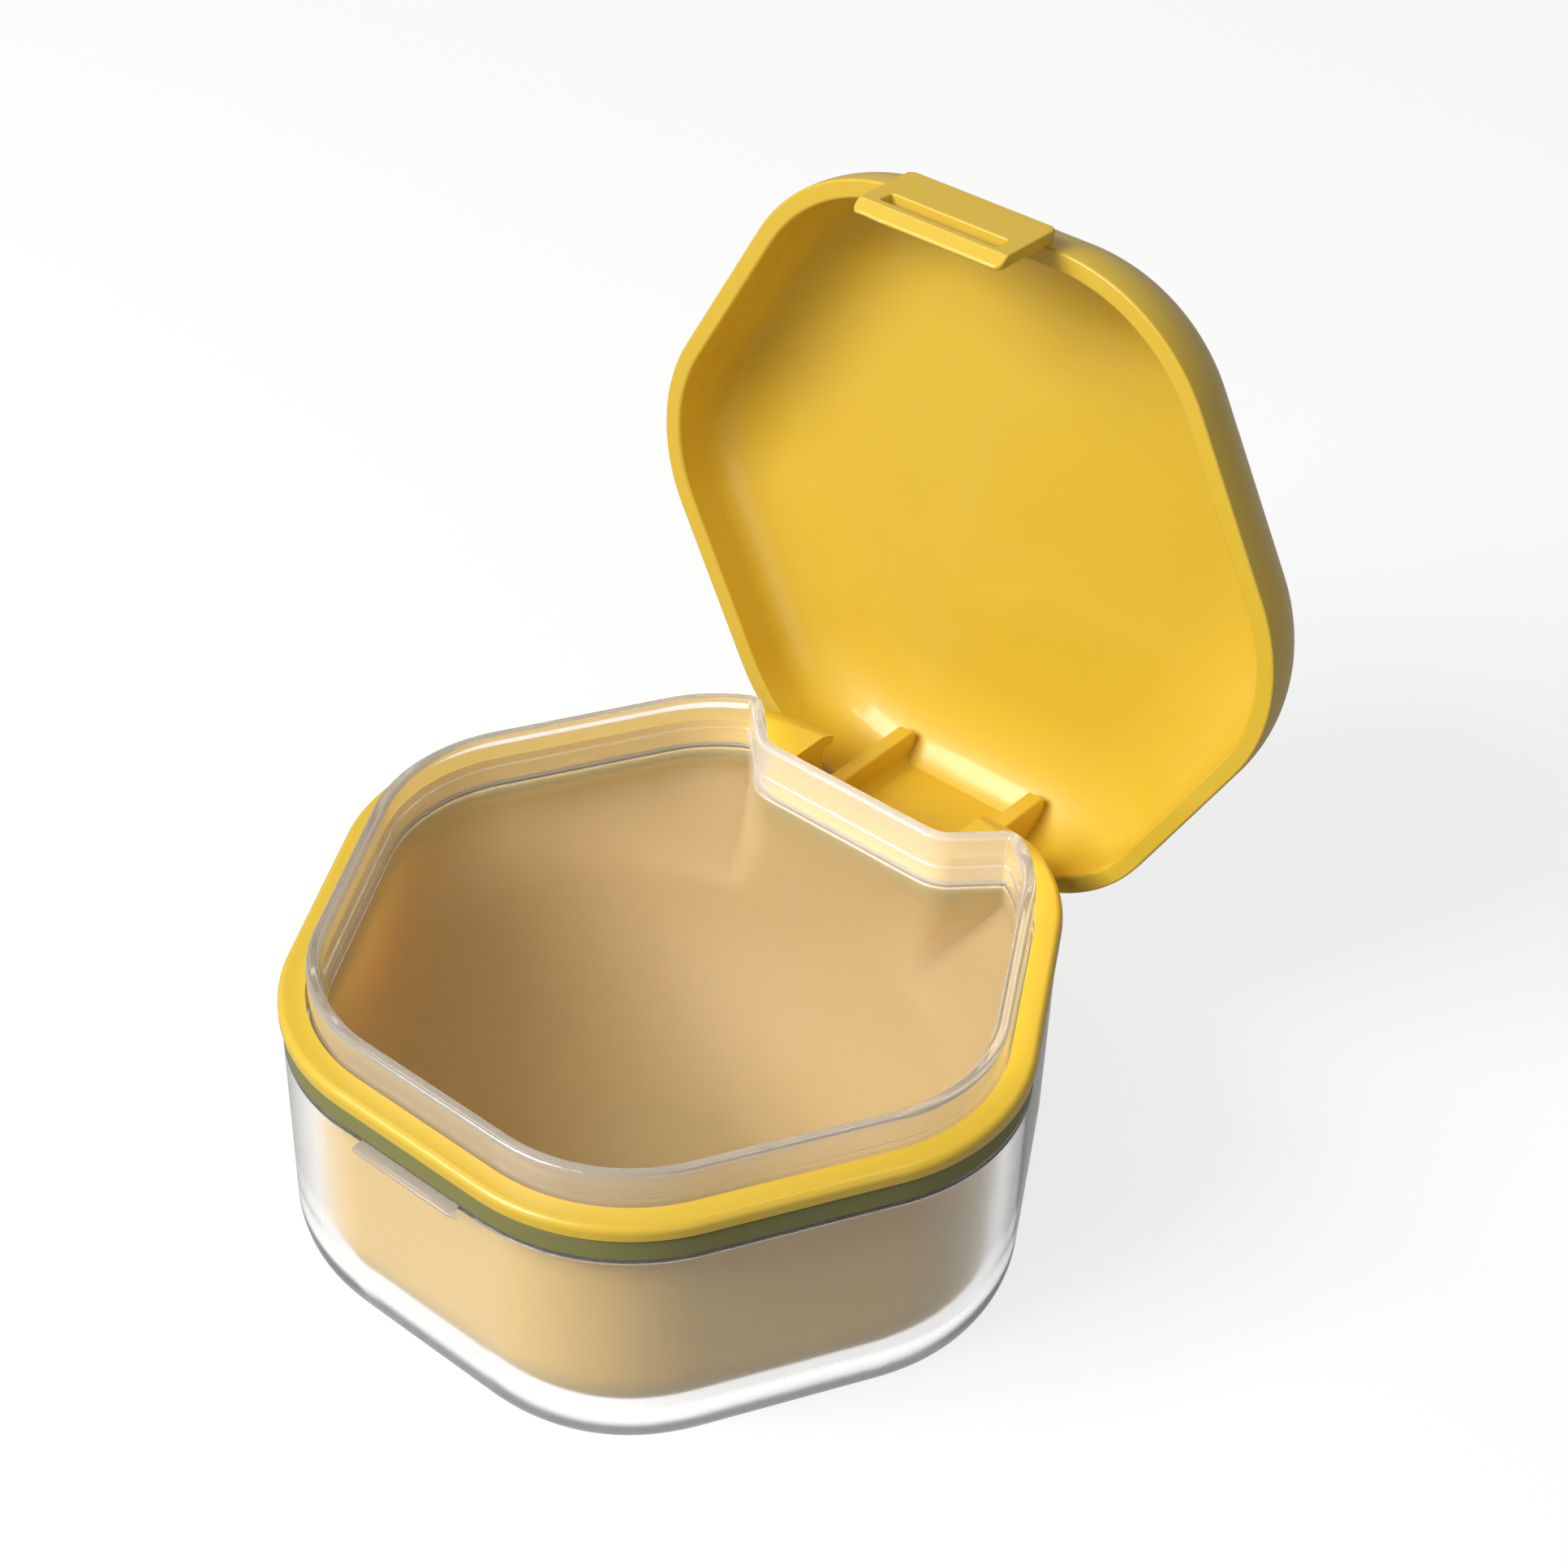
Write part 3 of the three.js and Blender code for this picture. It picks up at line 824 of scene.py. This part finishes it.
@dataclass
class Bowl:
    """The clear outer shell with its catch, and the tinted cup that hangs in it.

    hollow_foot is the share of the egg's size at the foot of the hollow, hollow_fullness the roundness of
    its side, and hollow_fade the share of the way in over which the wall turns into the egg. A face of the
    cup that points up by more than inside_slope is one of its inside.
    """

    wall: float = 2.6 * MM
    floor: float = 3 * MM
    foot_inset: float = 12.3 * MM
    foot_round: float = 10.25 * MM
    rim_radius: float = 0.25 * MM
    catch_half_length: float = 7.2 * MM
    catch_reach: float = 1.3 * MM
    catch_tip: float = 0.5 * MM
    catch_root: float = 1.9 * MM
    cup_inset: float = 3.3 * MM
    cup_bottom: float = 3.4 * MM
    cup_floor: float = 1.6 * MM
    cup_foot_inset: float = 15.8 * MM
    cup_round: float = 11 * MM
    cup_edge: float = 0.12 * MM
    hollow_round: float = 28 * MM
    hollow_foot: float = 0.2
    hollow_fullness: float = 1.7
    hollow_fade: float = 0.1
    inside_slope: float = 0.5
    round_steps: int = 24
    hollow_steps: int = 36
    hollow_facet: float = 1.5 * MM

    def _foot(self, wall_inset: float, bottom: float, height: float, foot_inset: float) -> list[Section]:
        """Shapes a round foot, from its flat bottom up to the wall.

        Args:
            wall_inset: Inset of the wall.
            bottom: Level of the flat bottom.
            height: Height of the round.
            foot_inset: Inset of the flat bottom.

        Returns:
            The sections, from the bottom up.
        """
        wall = PLAN.recessed(wall_inset)
        base = PLAN.foot(wall, foot_inset)
        sections = []
        for angle in quarter(self.round_steps):
            share = 1 - math.sin(angle)
            points = [p.lerp(q, share) for p, q in zip(wall, base)]
            sections.append(at_level(points, bottom + height * (1 - math.cos(angle))))
        return sections

    def _hollow(self) -> list[Section]:
        """Shapes the cup's hollow, from its foot up to where it meets the wall below the lip.

        Returns:
            The sections, from the foot up.
        """
        wall = subdivided(PLAN.recessed(LEVELS.bore_inset), self.hollow_facet)
        egg = PLAN.egg(wall, LEVELS.bore_inset)
        power = 2 / self.hollow_fullness
        sections = []
        for angle in quarter(self.hollow_steps):
            share = 1 - math.sin(angle) ** power
            faded = 1 - (1 - min(share / self.hollow_fade, 1)) ** 2
            points = [p.lerp(q, faded).lerp(q * self.hollow_foot, share) for p, q in zip(wall, egg)]
            rise = 1 - max(math.cos(angle), 0) ** power
            sections.append(at_level(points, self.cup_bottom + self.cup_floor + self.hollow_round * rise))
        return sections

    def shell(self) -> Piece:
        """Builds the clear outer shell, whose catch is frosted.

        Returns:
            The piece.
        """
        top, outer = LEVELS.shell_top, LEVELS.shell_inset
        inner = outer + self.wall
        rim = stacked(PLAN.recessed, rounded([
            Corner(outer, self.foot_round), Corner(outer, top, self.rim_radius),
            Corner(inner, top, self.rim_radius), Corner(inner, self.foot_round),
        ]))
        outside = self._foot(outer, 0, self.foot_round, self.foot_inset)
        inside = self._foot(inner, self.floor, self.foot_round - self.floor, self.foot_inset)
        front = -PLAN.half_depth + outer
        ledge = across([
            (front + self.wall / 2, top - self.catch_root), (front, top - self.catch_root),
            (front - self.catch_reach, top - self.catch_tip), (front - self.catch_reach, top),
            (front + self.wall / 2, top),
        ], -self.catch_half_length, self.catch_half_length)
        body = combined(solid_through(outside + rim + inside[::-1]), (Join.ADD, ledge))
        mark(body, lambda face, at: at.y < front - LEVELS.tight)
        return place_piece("bowl_shell", body, (CLEAR, FROSTED), Body.BASE, "outer_shell")

    def cup(self) -> Piece:
        """Builds the tinted cup, whose lip stands in the neck collar.

        Returns:
            The piece.
        """
        top = LEVELS.shell_top
        lip_top = LEVELS.skirt_bottom - LEVELS.tight
        rim = stacked(PLAN.recessed, rounded([
            Corner(self.cup_inset, self.cup_bottom + self.cup_round), Corner(self.cup_inset, top),
            Corner(LEVELS.lip_inset, top), Corner(LEVELS.lip_inset, lip_top),
            Corner(LEVELS.bore_inset, lip_top),
        ]))
        outside = self._foot(self.cup_inset, self.cup_bottom, self.cup_round, self.cup_foot_inset)
        hollow = self._hollow()
        mouth = at_level(hollow[-1], LEVELS.ring_top)
        body = combined(solid_through(outside + rim), (Join.CUT, solid_through(hollow + [mouth])))
        mark(body, lambda face, at: face.normal.xy.dot(at.xy) < 0 or face.normal.z > self.inside_slope)
        return place_piece("tinted_cup", body, (TAN, TAN_INSIDE), Body.BASE, "inner_cup", self.cup_edge)


@dataclass
class Neck:
    """The clear rim above the ring, the olive seal band and the yellow hinge ring."""

    height: float = 4.1 * MM
    rim_radius: float = 0.6 * MM
    step: float = 0.2 * MM
    # Half width of the collar's back that gets the painted sheen.
    painted_sheen_half_width: float = 19 * MM
    seal_inset: float = 0.35 * MM
    seal_height: float = 2.8 * MM
    seal_radius: float = 0.3 * MM
    flange_edge_radius: float = 0.9 * MM
    flange_low_radius: float = 0.2 * MM
    flange_trim: float = 0.9 * MM
    slot_half_width: float = 11.8 * MM
    slot_bridge: float = 2.6 * MM
    cheek_radius: float = 3.2 * MM
    cheek_setback: float = 0.6 * MM
    cheek_thickness: float = 3 * MM
    ring_edge: float = 0.18 * MM
    fine_steps: int = 6
    cheek_steps: int = 20
    swing_steps: int = 16
    swing_arc_steps: int = 24

    def collar(self) -> Piece:
        """Builds the clear rim on its foot. Its back round the hinge recess gets a hazier finish, a painted
        sheen that whitens it where the light falls.

        Returns:
            The piece.
        """
        low = LEVELS.shell_top + LEVELS.gap
        foot_top = LEVELS.skirt_bottom - LEVELS.gap
        top = LEVELS.ring_top + self.height
        seat = LEVELS.lip_inset - LEVELS.tight
        body = solid_through(stacked(PLAN.recessed, rounded([
            Corner(LEVELS.skirt_inset, low), Corner(LEVELS.skirt_inset, foot_top),
            Corner(LEVELS.neck_inset, foot_top), Corner(LEVELS.neck_inset, top, self.rim_radius),
            Corner(LEVELS.bore_inset, top, self.rim_radius), Corner(LEVELS.bore_inset, LEVELS.ring_top),
            Corner(LEVELS.bore_inset + self.step, LEVELS.ring_top - self.step),
            Corner(LEVELS.bore_inset + self.step, LEVELS.skirt_bottom),
            Corner(seat, LEVELS.skirt_bottom), Corner(seat, low),
        ], closed=True, steps=self.fine_steps)), hoop=True)
        # Faces at the back round the hinge recess get the hazier finish: painted sheen.
        mark(body, lambda face, at: at.y > 0 and abs(at.x) < self.painted_sheen_half_width)
        return place_piece("neck_rim", body, (CLEAR_WARM, CLEAR_PAINTED_SHEEN), Body.BASE, "neck_collar")

    def seal(self) -> Piece:
        """Builds the olive seal band.

        Returns:
            The piece.
        """
        low = LEVELS.shell_top + LEVELS.gap
        high = low + self.seal_height
        outer, inner = self.seal_inset, LEVELS.skirt_inset - LEVELS.gap
        body = solid_through(stacked(PLAN.recessed, rounded([
            Corner(inset, level, self.seal_radius)
            for inset, level in ((outer, low), (outer, high), (inner, high), (inner, low))
        ], closed=True)), hoop=True)
        return place_piece("seal_hoop", body, (OLIVE,), Body.BASE, "seal_band")

    def _flange(self) -> Solid:
        """The flat part of the ring, before anything is cut from it."""
        return solid_through(stacked(PLAN.full, rounded([
            Corner(LEVELS.neck_inset, LEVELS.flange_bottom),
            Corner(0, LEVELS.flange_bottom, self.flange_low_radius),
            Corner(0, LEVELS.ring_top, self.flange_edge_radius), Corner(LEVELS.neck_inset, LEVELS.ring_top),
        ], steps=self.fine_steps)))

    def _cheek(self, side: int) -> Solid:
        """Builds a cheek under the ring, which holds one end of the pin and fits the bowl's recess.

        Args:
            side: 1 for the right one, -1 for the left one.

        Returns:
            Its closed mesh.
        """
        y, z, radius = LEVELS.hinge_y, LEVELS.hinge_z, self.cheek_radius
        pen = Pen(y - radius, LEVELS.ring_middle)
        pen.lines((y - radius, z))
        pen.arc(LEVELS.axle, math.pi, self.cheek_steps)
        pen.lines((y + radius, LEVELS.ring_middle))
        inner = side * (self.slot_half_width + self.cheek_setback)
        body = across(pen.lift(), inner, inner + side * self.cheek_thickness)
        return combined(body, (Join.CUT, prism(PLAN.recessed(0), 0, LEVELS.flange_bottom)))

    @staticmethod
    def _rim_swing(aside: float) -> float:
        """How near the closing lid's rim comes to the hinge axis, less a gap.

        Args:
            aside: Distance from the middle, along the axis.

        Returns:
            The distance from the axis beyond which the rim needs the space.
        """
        radius = PLAN.corner_radius - LEVELS.lid_bore_inset
        along = min(max(aside - PLAN.flat_corner.x, 0), radius)
        behind = PLAN.flat_corner.y + math.sqrt(radius**2 - along**2) - LEVELS.hinge_y
        return math.hypot(max(behind, 0), LEVELS.lid_rim - LEVELS.hinge_z) - LEVELS.gap

    def _swing(self) -> Solid:
        """Builds the space that the lid's rim needs while it closes.

        Returns:
            Its closed mesh.
        """
        y, z = LEVELS.hinge_y, LEVELS.hinge_z
        far = y + 2 * LEVELS.overrun
        high = LEVELS.ring_top + LEVELS.overrun
        sections = []
        for step in range(-self.swing_steps, self.swing_steps + 1):
            x = PLAN.half_width * step / self.swing_steps
            pen = Pen(y, z + self._rim_swing(abs(x)))
            pen.arc(LEVELS.axle, -QUARTER_TURN, self.swing_arc_steps)
            pen.lines((far, z), (far, high), (y, high))
            sections.append([Vector((x, *point)) for point in pen.lift()])
        return solid_through(sections)

    def ring(self) -> Piece:
        """Builds the yellow ring with its skirt, slot and cheeks.

        Returns:
            The piece.
        """
        above = LEVELS.ring_top + LEVELS.overrun
        behind = PLAN.half_depth + LEVELS.overrun
        bore_inset = LEVELS.neck_inset - LEVELS.gap
        body = combined(
            self._flange(),
            (Join.ADD, prism(PLAN.recessed(LEVELS.skirt_inset), LEVELS.skirt_bottom, LEVELS.ring_middle)),
            (Join.CUT, prism(PLAN.recessed(bore_inset), LEVELS.skirt_bottom - LEVELS.overrun, above)),
            (Join.CUT, slab(
                (-self.slot_half_width, PLAN.recess_floor - bore_inset + self.slot_bridge, 0),
                (self.slot_half_width, behind, above),
            )),
            (Join.CUT, slab(
                (-PLAN.half_width, PLAN.half_depth - self.flange_trim, LEVELS.flange_bottom - LEVELS.gap),
                (PLAN.half_width, behind, above),
            )),
            *((Join.ADD, self._cheek(side)) for side in (1, -1)),
            (Join.CUT, self._swing()),
            (Join.CUT, rod(LEVELS.pin_radius + LEVELS.pin_gap, PLAN.half_width, LEVELS.hinge)),
        )
        return place_piece("hinge_frame", body, (YELLOW,), Body.BASE, "hinge_ring", self.ring_edge)

    def pin(self) -> Piece:
        """Dresses the steel pin, whose own solid is shown.

        Returns:
            The piece.
        """
        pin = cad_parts["hinge_pin"]
        pin.data.materials.clear()
        pin.data.materials.append(STEEL.material())
        return pin


@dataclass
class Lid:
    """The domed lid with its hinge arms, and the latch flap on its front edge."""

    inset: float = 0.5 * MM
    height: float = 15.1 * MM
    crown_inset: float = 16.4 * MM
    straight_outside: float = 0.9 * MM
    rim_wall: float = 2.3 * MM
    roof: float = 2 * MM
    straight_inside: float = 4.4 * MM
    inner_crown_inset: float = 16.9 * MM
    rim_radius: float = 0.45 * MM
    cover_edge: float = 0.25 * MM
    open_angle: float = math.radians(91)
    arm_outer: float = 11.2 * MM
    arm_thickness: float = 2.2 * MM
    boss_radius: float = 2.9 * MM
    arm_reach: float = 2.4 * MM
    arm_top: float = 9 * MM
    arm_nose: float = 0.6 * MM
    arm_edge: float = 0.4 * MM
    root_fillet: float = 1.1 * MM
    tongue_thickness: float = 2 * MM
    flap_half_length: float = 9.9 * MM
    flap_thickness: float = 1.45 * MM
    flap_top: float = 1 * MM
    flap_drop: float = 9.4 * MM
    flap_bevel_height: float = 1.5 * MM
    flap_lip_wall: float = 0.5 * MM
    flap_end_radius: float = 1 * MM
    flap_root_half_length: float = 8.5 * MM
    flap_root_height: float = 1.2 * MM
    flap_edge: float = 0.38 * MM
    stamp_reach: float = 3.0
    window_half_length: float = 7.7 * MM
    window_low: float = 31.8 * MM
    window_height: float = 2 * MM
    round_steps: int = 24
    boss_steps: int = 28
    small_round_steps: int = 8
    arm_edge_steps: int = 3

    @property
    def tongue_front(self) -> float:
        """Front face of the tongue, behind the pin."""
        return LEVELS.hinge_y + LEVELS.pin_radius + LEVELS.gap

    @property
    def tongue_back(self) -> float:
        """Back face of the tongue and of the arms."""
        return self.tongue_front + self.tongue_thickness

    @property
    def arm_inner(self) -> float:
        """Inner face of the right arm."""
        return self.arm_outer - self.arm_thickness

    @property
    def flap_inside(self) -> float:
        """Inner face of the closed flap, at the front."""
        return -(PLAN.half_depth + LEVELS.gap + LEVELS.pin_gap)

    def _opened(self, body: Solid) -> Solid:
        """Turns a solid from the closed place to the open one.

        Args:
            body: The solid.

        Returns:
            The same solid.
        """
        turn = Matrix.Rotation(-self.open_angle, 4, "X")
        opening = Matrix.Translation(LEVELS.hinge) @ turn @ Matrix.Translation(-LEVELS.hinge)
        bmesh.ops.transform(body, matrix=opening, verts=body.verts[:])
        return body

    def _round(self, rim_inset: float, straight: float, height: float, crown: float) -> list[Section]:
        """Shapes a dome's skin, from the end of its straight wall up to its crown.

        Args:
            rim_inset: Inset of the straight wall.
            straight: Height of the straight wall.
            height: Height of the crown.
            crown: Inset of the crown.

        Returns:
            The sections, from the wall up.
        """
        return stacked(PLAN.full, [
            (
                rim_inset + (crown - rim_inset) * (1 - math.cos(angle)),
                LEVELS.ring_top + straight + (height - straight) * math.sin(angle),
            )
            for angle in quarter(self.round_steps)
        ])

    def _outside(self) -> list[Section]:
        """Sections of the outer skin."""
        return self._round(self.inset, self.straight_outside, self.height, self.crown_inset)

    def _dome(self) -> Solid:
        """Builds the hollow dome with its round rim.

        Returns:
            Its closed mesh.
        """
        bore = self.inset + self.rim_wall
        lip = stacked(PLAN.full, rounded([
            Corner(self.inset, LEVELS.ring_top + self.straight_outside),
            Corner(self.inset, LEVELS.lid_rim, self.rim_radius),
            Corner(bore, LEVELS.lid_rim, self.rim_radius),
            Corner(bore, LEVELS.ring_top + self.straight_inside),
        ]))
        inside = self._round(bore, self.straight_inside, self.height - self.roof, self.inner_crown_inset)
        return solid_through(self._outside()[::-1] + lip + inside)

    def _arm(self, side: int) -> Solid:
        """Builds a hinge arm with its boss round the pin.

        Args:
            side: 1 for the right one, -1 for the left one.

        Returns:
            Its closed mesh.
        """
        y, z = LEVELS.hinge_y, LEVELS.hinge_z
        top = LEVELS.ring_top + self.arm_top
        pen = Pen(y + self.boss_radius, z)
        pen.arc(LEVELS.axle, -math.pi - math.acos(self.arm_reach / self.boss_radius), self.boss_steps)
        pen.lines(
            (y - self.arm_reach, top), (y - self.arm_reach + self.arm_nose, top + self.arm_nose),
            (self.tongue_back, top + self.arm_nose), (self.tongue_back, z),
        )
        arm = across(pen.lift(), side * self.arm_inner, side * self.arm_outer)
        edges = [edge for edge in arm.edges if abs(edge.verts[0].co.x - edge.verts[1].co.x) < self.arm_edge]
        bmesh.ops.bevel(
            arm, geom=edges, offset=self.arm_edge, segments=self.arm_edge_steps, profile=0.5, affect="EDGES",
            clamp_overlap=True,
        )
        return arm

    def _arm_root(self, side: int) -> Solid:
        """Builds the rounded corner between an arm and the tongue.

        Args:
            side: 1 for the right one, -1 for the left one.

        Returns:
            Its closed mesh.
        """
        x, y, radius = self.arm_inner, self.tongue_front, self.root_fillet
        pen = Pen(x + self.arm_edge, y + self.arm_edge)
        pen.lines((x + self.arm_edge, y - radius), (x, y - radius))
        pen.arc(Vector((x - radius, y - radius)), QUARTER_TURN, self.small_round_steps)
        pen.lines((x - radius, y + self.arm_edge))
        outline = [Vector((side * p.x, p.y)) for p in pen.lift()]
        return prism(outline, LEVELS.hinge_z, LEVELS.ring_top + self.arm_top)

    def _fittings(self) -> Solid:
        """Builds the arms and the tongue, cut to the outside of the lid where they meet it.

        Returns:
            Their closed mesh.
        """
        y, z = LEVELS.hinge_y, LEVELS.hinge_z
        inner = self.arm_inner + LEVELS.gap
        heel = y - (PLAN.recess_floor - LEVELS.shell_inset) - LEVELS.gap
        tongue = slab(
            (-inner, self.tongue_front, z - heel), (inner, self.tongue_back, LEVELS.ring_top + self.arm_top)
        )
        hanging = slab(
            (-self.arm_outer, y - LEVELS.overrun, z - LEVELS.overrun),
            (self.arm_outer, self.tongue_back, LEVELS.lid_rim + LEVELS.gap),
        )
        rim = at_level(PLAN.full(self.inset), LEVELS.lid_rim)
        return combined(
            tongue,
            *((Join.ADD, part(side)) for side in (1, -1) for part in (self._arm, self._arm_root)),
            (Join.KEEP, combined(solid_through([rim] + self._outside()), (Join.ADD, hanging))),
        )

    def cover(self) -> Piece:
        """Builds the domed lid with its arms and the root of the flap.

        Returns:
            The piece.
        """
        root_level = LEVELS.ring_top + self.flap_top
        root = slab(
            (-self.flap_root_half_length, self.flap_inside + LEVELS.gap, root_level - LEVELS.gap),
            (self.flap_root_half_length, -PLAN.half_depth + self.inset + self.rim_wall / 2,
             root_level + self.flap_root_height),
        )
        bore = rod(LEVELS.pin_radius + LEVELS.pin_gap, self.arm_outer + LEVELS.gap, LEVELS.hinge)
        body = combined(self._dome(), (Join.ADD, self._fittings()), (Join.ADD, root), (Join.CUT, bore))
        return place_piece("lid_cover", self._opened(body), (YELLOW,), Body.LID, "lid", self.cover_edge)

    def flap(self) -> Piece:
        """Builds the slotted latch flap.

        Returns:
            The piece.
        """
        inside = self.flap_inside
        outside = inside - self.flap_thickness
        top = LEVELS.ring_top + self.flap_top
        bottom = top - self.flap_top - self.flap_drop
        radius, half = self.flap_end_radius, self.flap_half_length
        plate = across([
            (inside, top), (outside, top), (outside, bottom + self.flap_bevel_height),
            (inside - self.flap_lip_wall, bottom), (inside, bottom),
        ], -half, half)
        pen = Pen(half - radius, bottom)
        pen.arc(Vector((half - radius, bottom + radius)), QUARTER_TURN, self.small_round_steps)
        pen.lines((half, top - radius))
        pen.arc(Vector((half - radius, top - radius)), QUARTER_TURN, self.small_round_steps)
        face = with_mirror(pen.lift())
        near, far = -LEVELS.overrun, self.stamp_reach * outside
        stamp = solid_through([[Vector((p.x, y, p.y)) for p in face] for y in (near, far)])
        window = slab(
            (-self.window_half_length, far, self.window_low),
            (self.window_half_length, near, self.window_low + self.window_height),
        )
        body = self._opened(combined(plate, (Join.KEEP, stamp), (Join.CUT, window)))
        return place_piece("latch_tab", body, (YELLOW,), Body.LATCH, "latch_flap", self.flap_edge)


@dataclass(frozen=True)
class Lamp:
    """A square lamp that is aimed at the object, with its size in metres and its power in watts."""

    name: str
    place: Place
    size: float
    power: float
    colour: Colour = (1.0, 1.0, 1.0)


LAMPS = (
    Lamp("key", (-0.28, -0.7, 0.66), size=0.5, power=10.8, colour=(1.0, 0.985, 0.96)),
    Lamp("glint", (0.09, -0.65, 0.8), size=0.1, power=0.4),
    Lamp("front_edge_glint", (-0.5, 0.1, 0.9), size=0.15, power=0.4),
    Lamp("side_edge_glint", (0.05, 0.3, 0.95), size=0.15, power=0.4),
    Lamp("fill", (0.85, -0.35, 0.35), size=0.5, power=0.9, colour=(1.0, 0.96, 0.91)),
)


@dataclass
class Stage:
    """Pale floor, soft lamps and the camera."""

    MIRRORED_SHARE: ClassVar[float] = 0.3
    UNSCATTERED: ClassVar[float] = 0.5

    floor_half_size: float = 3.0
    floor_colour: tuple[float, float, float, float] = (0.25, 0.25, 0.25, 1.0)
    floor_roughness: float = 0.9
    floor_lift: float = 0.78
    azimuth: float = math.radians(38.79)
    elevation: float = math.radians(37.89)
    roll: float = math.radians(2.14)
    distance: float = 330.09 * MM
    pan_right: float = -11.76 * MM
    pan_up: float = -17.23 * MM
    lens_mm: float = 67.66
    sensor_mm: float = 36.0
    nearest_seen: float = 0.01
    farthest_seen: float = 20.0
    aim: Place = (0, 0, 0.045)
    world_strength: float = 0.16

    def camera(self) -> None:
        """Sets up the camera at the photographed angle."""
        back = Vector((
            math.sin(self.azimuth) * math.cos(self.elevation),
            -math.cos(self.azimuth) * math.cos(self.elevation),
            math.sin(self.elevation),
        ))
        level_right = (-back).cross(Vector((0, 0, 1))).normalized()
        level_up = level_right.cross(-back)
        right = level_right * math.cos(self.roll) + level_up * math.sin(self.roll)
        up = level_up * math.cos(self.roll) - level_right * math.sin(self.roll)
        target = Vector((0, 0, LEVELS.ring_top))
        data = bpy.data.cameras.new("camera")
        data.sensor_width = self.sensor_mm
        data.lens = self.lens_mm
        data.clip_start = self.nearest_seen
        data.clip_end = self.farthest_seen
        camera = in_scene("camera", data)
        matrix = Matrix((right, up, back)).transposed().to_4x4()
        matrix.translation = target + back * self.distance - right * self.pan_right - up * self.pan_up
        camera.matrix_world = matrix
        bpy.context.scene.camera = camera

    def lamps(self) -> None:
        """Sets up the lamps: a soft key from the front left, a weak fill, and small ones for the glints."""
        for lamp in LAMPS:
            data = bpy.data.lights.new(lamp.name, "AREA")
            data.shape = "SQUARE"
            data.size = lamp.size
            data.energy = lamp.power
            data.color = lamp.colour
            place = Vector(lamp.place)
            turn = (Vector(self.aim) - place).to_track_quat("-Z", "Y").to_matrix().to_4x4()
            in_scene(lamp.name, data).matrix_world = Matrix.Translation(place) @ turn

    def world(self) -> None:
        """Lights the object evenly and shows white behind it."""
        world = bpy.data.worlds.new("studio")
        bpy.context.scene.world = world
        world.use_nodes = True
        world.node_tree.nodes.clear()
        make = Nodes(world.node_tree)
        shade, white = (
            make.add("ShaderNodeBackground", {"Color": WHITE, "Strength": strength}).outputs[0]
            for strength in (self.world_strength, 1.0)
        )
        make.add("ShaderNodeOutputWorld", {"Surface": make.mixed(self._seen(make), shade, white)})

    @classmethod
    def _seen(cls, make: Nodes) -> Socket:
        """Masks the rays that show the background directly, in a reflection or through clear plastic.

        Args:
            make: The tree that the mask is added to.

        Returns:
            The mask.
        """
        path = make.add("ShaderNodeLightPath").outputs
        mirrored = make.calculated(
            "MULTIPLY_ADD", path["Is Glossy Ray"], cls.MIRRORED_SHARE, path["Is Transmission Ray"]
        )
        seen = make.calculated("MAXIMUM", path["Is Camera Ray"], mirrored)
        direct = make.calculated("LESS_THAN", path["Diffuse Depth"], cls.UNSCATTERED)
        return make.calculated("MULTIPLY", seen, direct)

    def floor(self) -> None:
        """Lays the pale floor."""
        mesh = bmesh.new()
        bmesh.ops.create_grid(mesh, x_segments=1, y_segments=1, size=self.floor_half_size)
        plane = with_mesh("floor", mesh)
        paint = bpy.data.materials.new("floor_paint")
        paint.use_nodes = True
        make = Nodes(paint.node_tree)
        shader = paint.node_tree.nodes["Principled BSDF"]
        for name, value in (
            ("Base Color", self.floor_colour), ("Roughness", self.floor_roughness),
            ("Specular IOR Level", 0.0), ("Emission Color", WHITE),
            ("Emission Strength", make.calculated("MULTIPLY", self._seen(make), self.floor_lift)),
        ):
            make.feed(shader.inputs[name], value)
        plane.data.materials.append(paint)

    def build(self) -> None:
        """Builds the whole stage."""
        self.camera()
        self.lamps()
        self.world()
        self.floor()
        bpy.context.scene.view_settings.view_transform = "Standard"


def main() -> None:
    """Builds the object and its stage, and logs the number of faces of each piece."""
    logging.basicConfig(level=logging.INFO)
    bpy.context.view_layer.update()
    Stage().build()
    bowl, neck, lid = Bowl(), Neck(), Lid()
    for build in (bowl.shell, bowl.cup, neck.collar, neck.seal, neck.ring, neck.pin, lid.cover, lid.flap):
        piece = build()
        LOG.info("%s: %d faces", piece.name, len(piece.data.polygons))


if __name__ == "__main__":
    main()
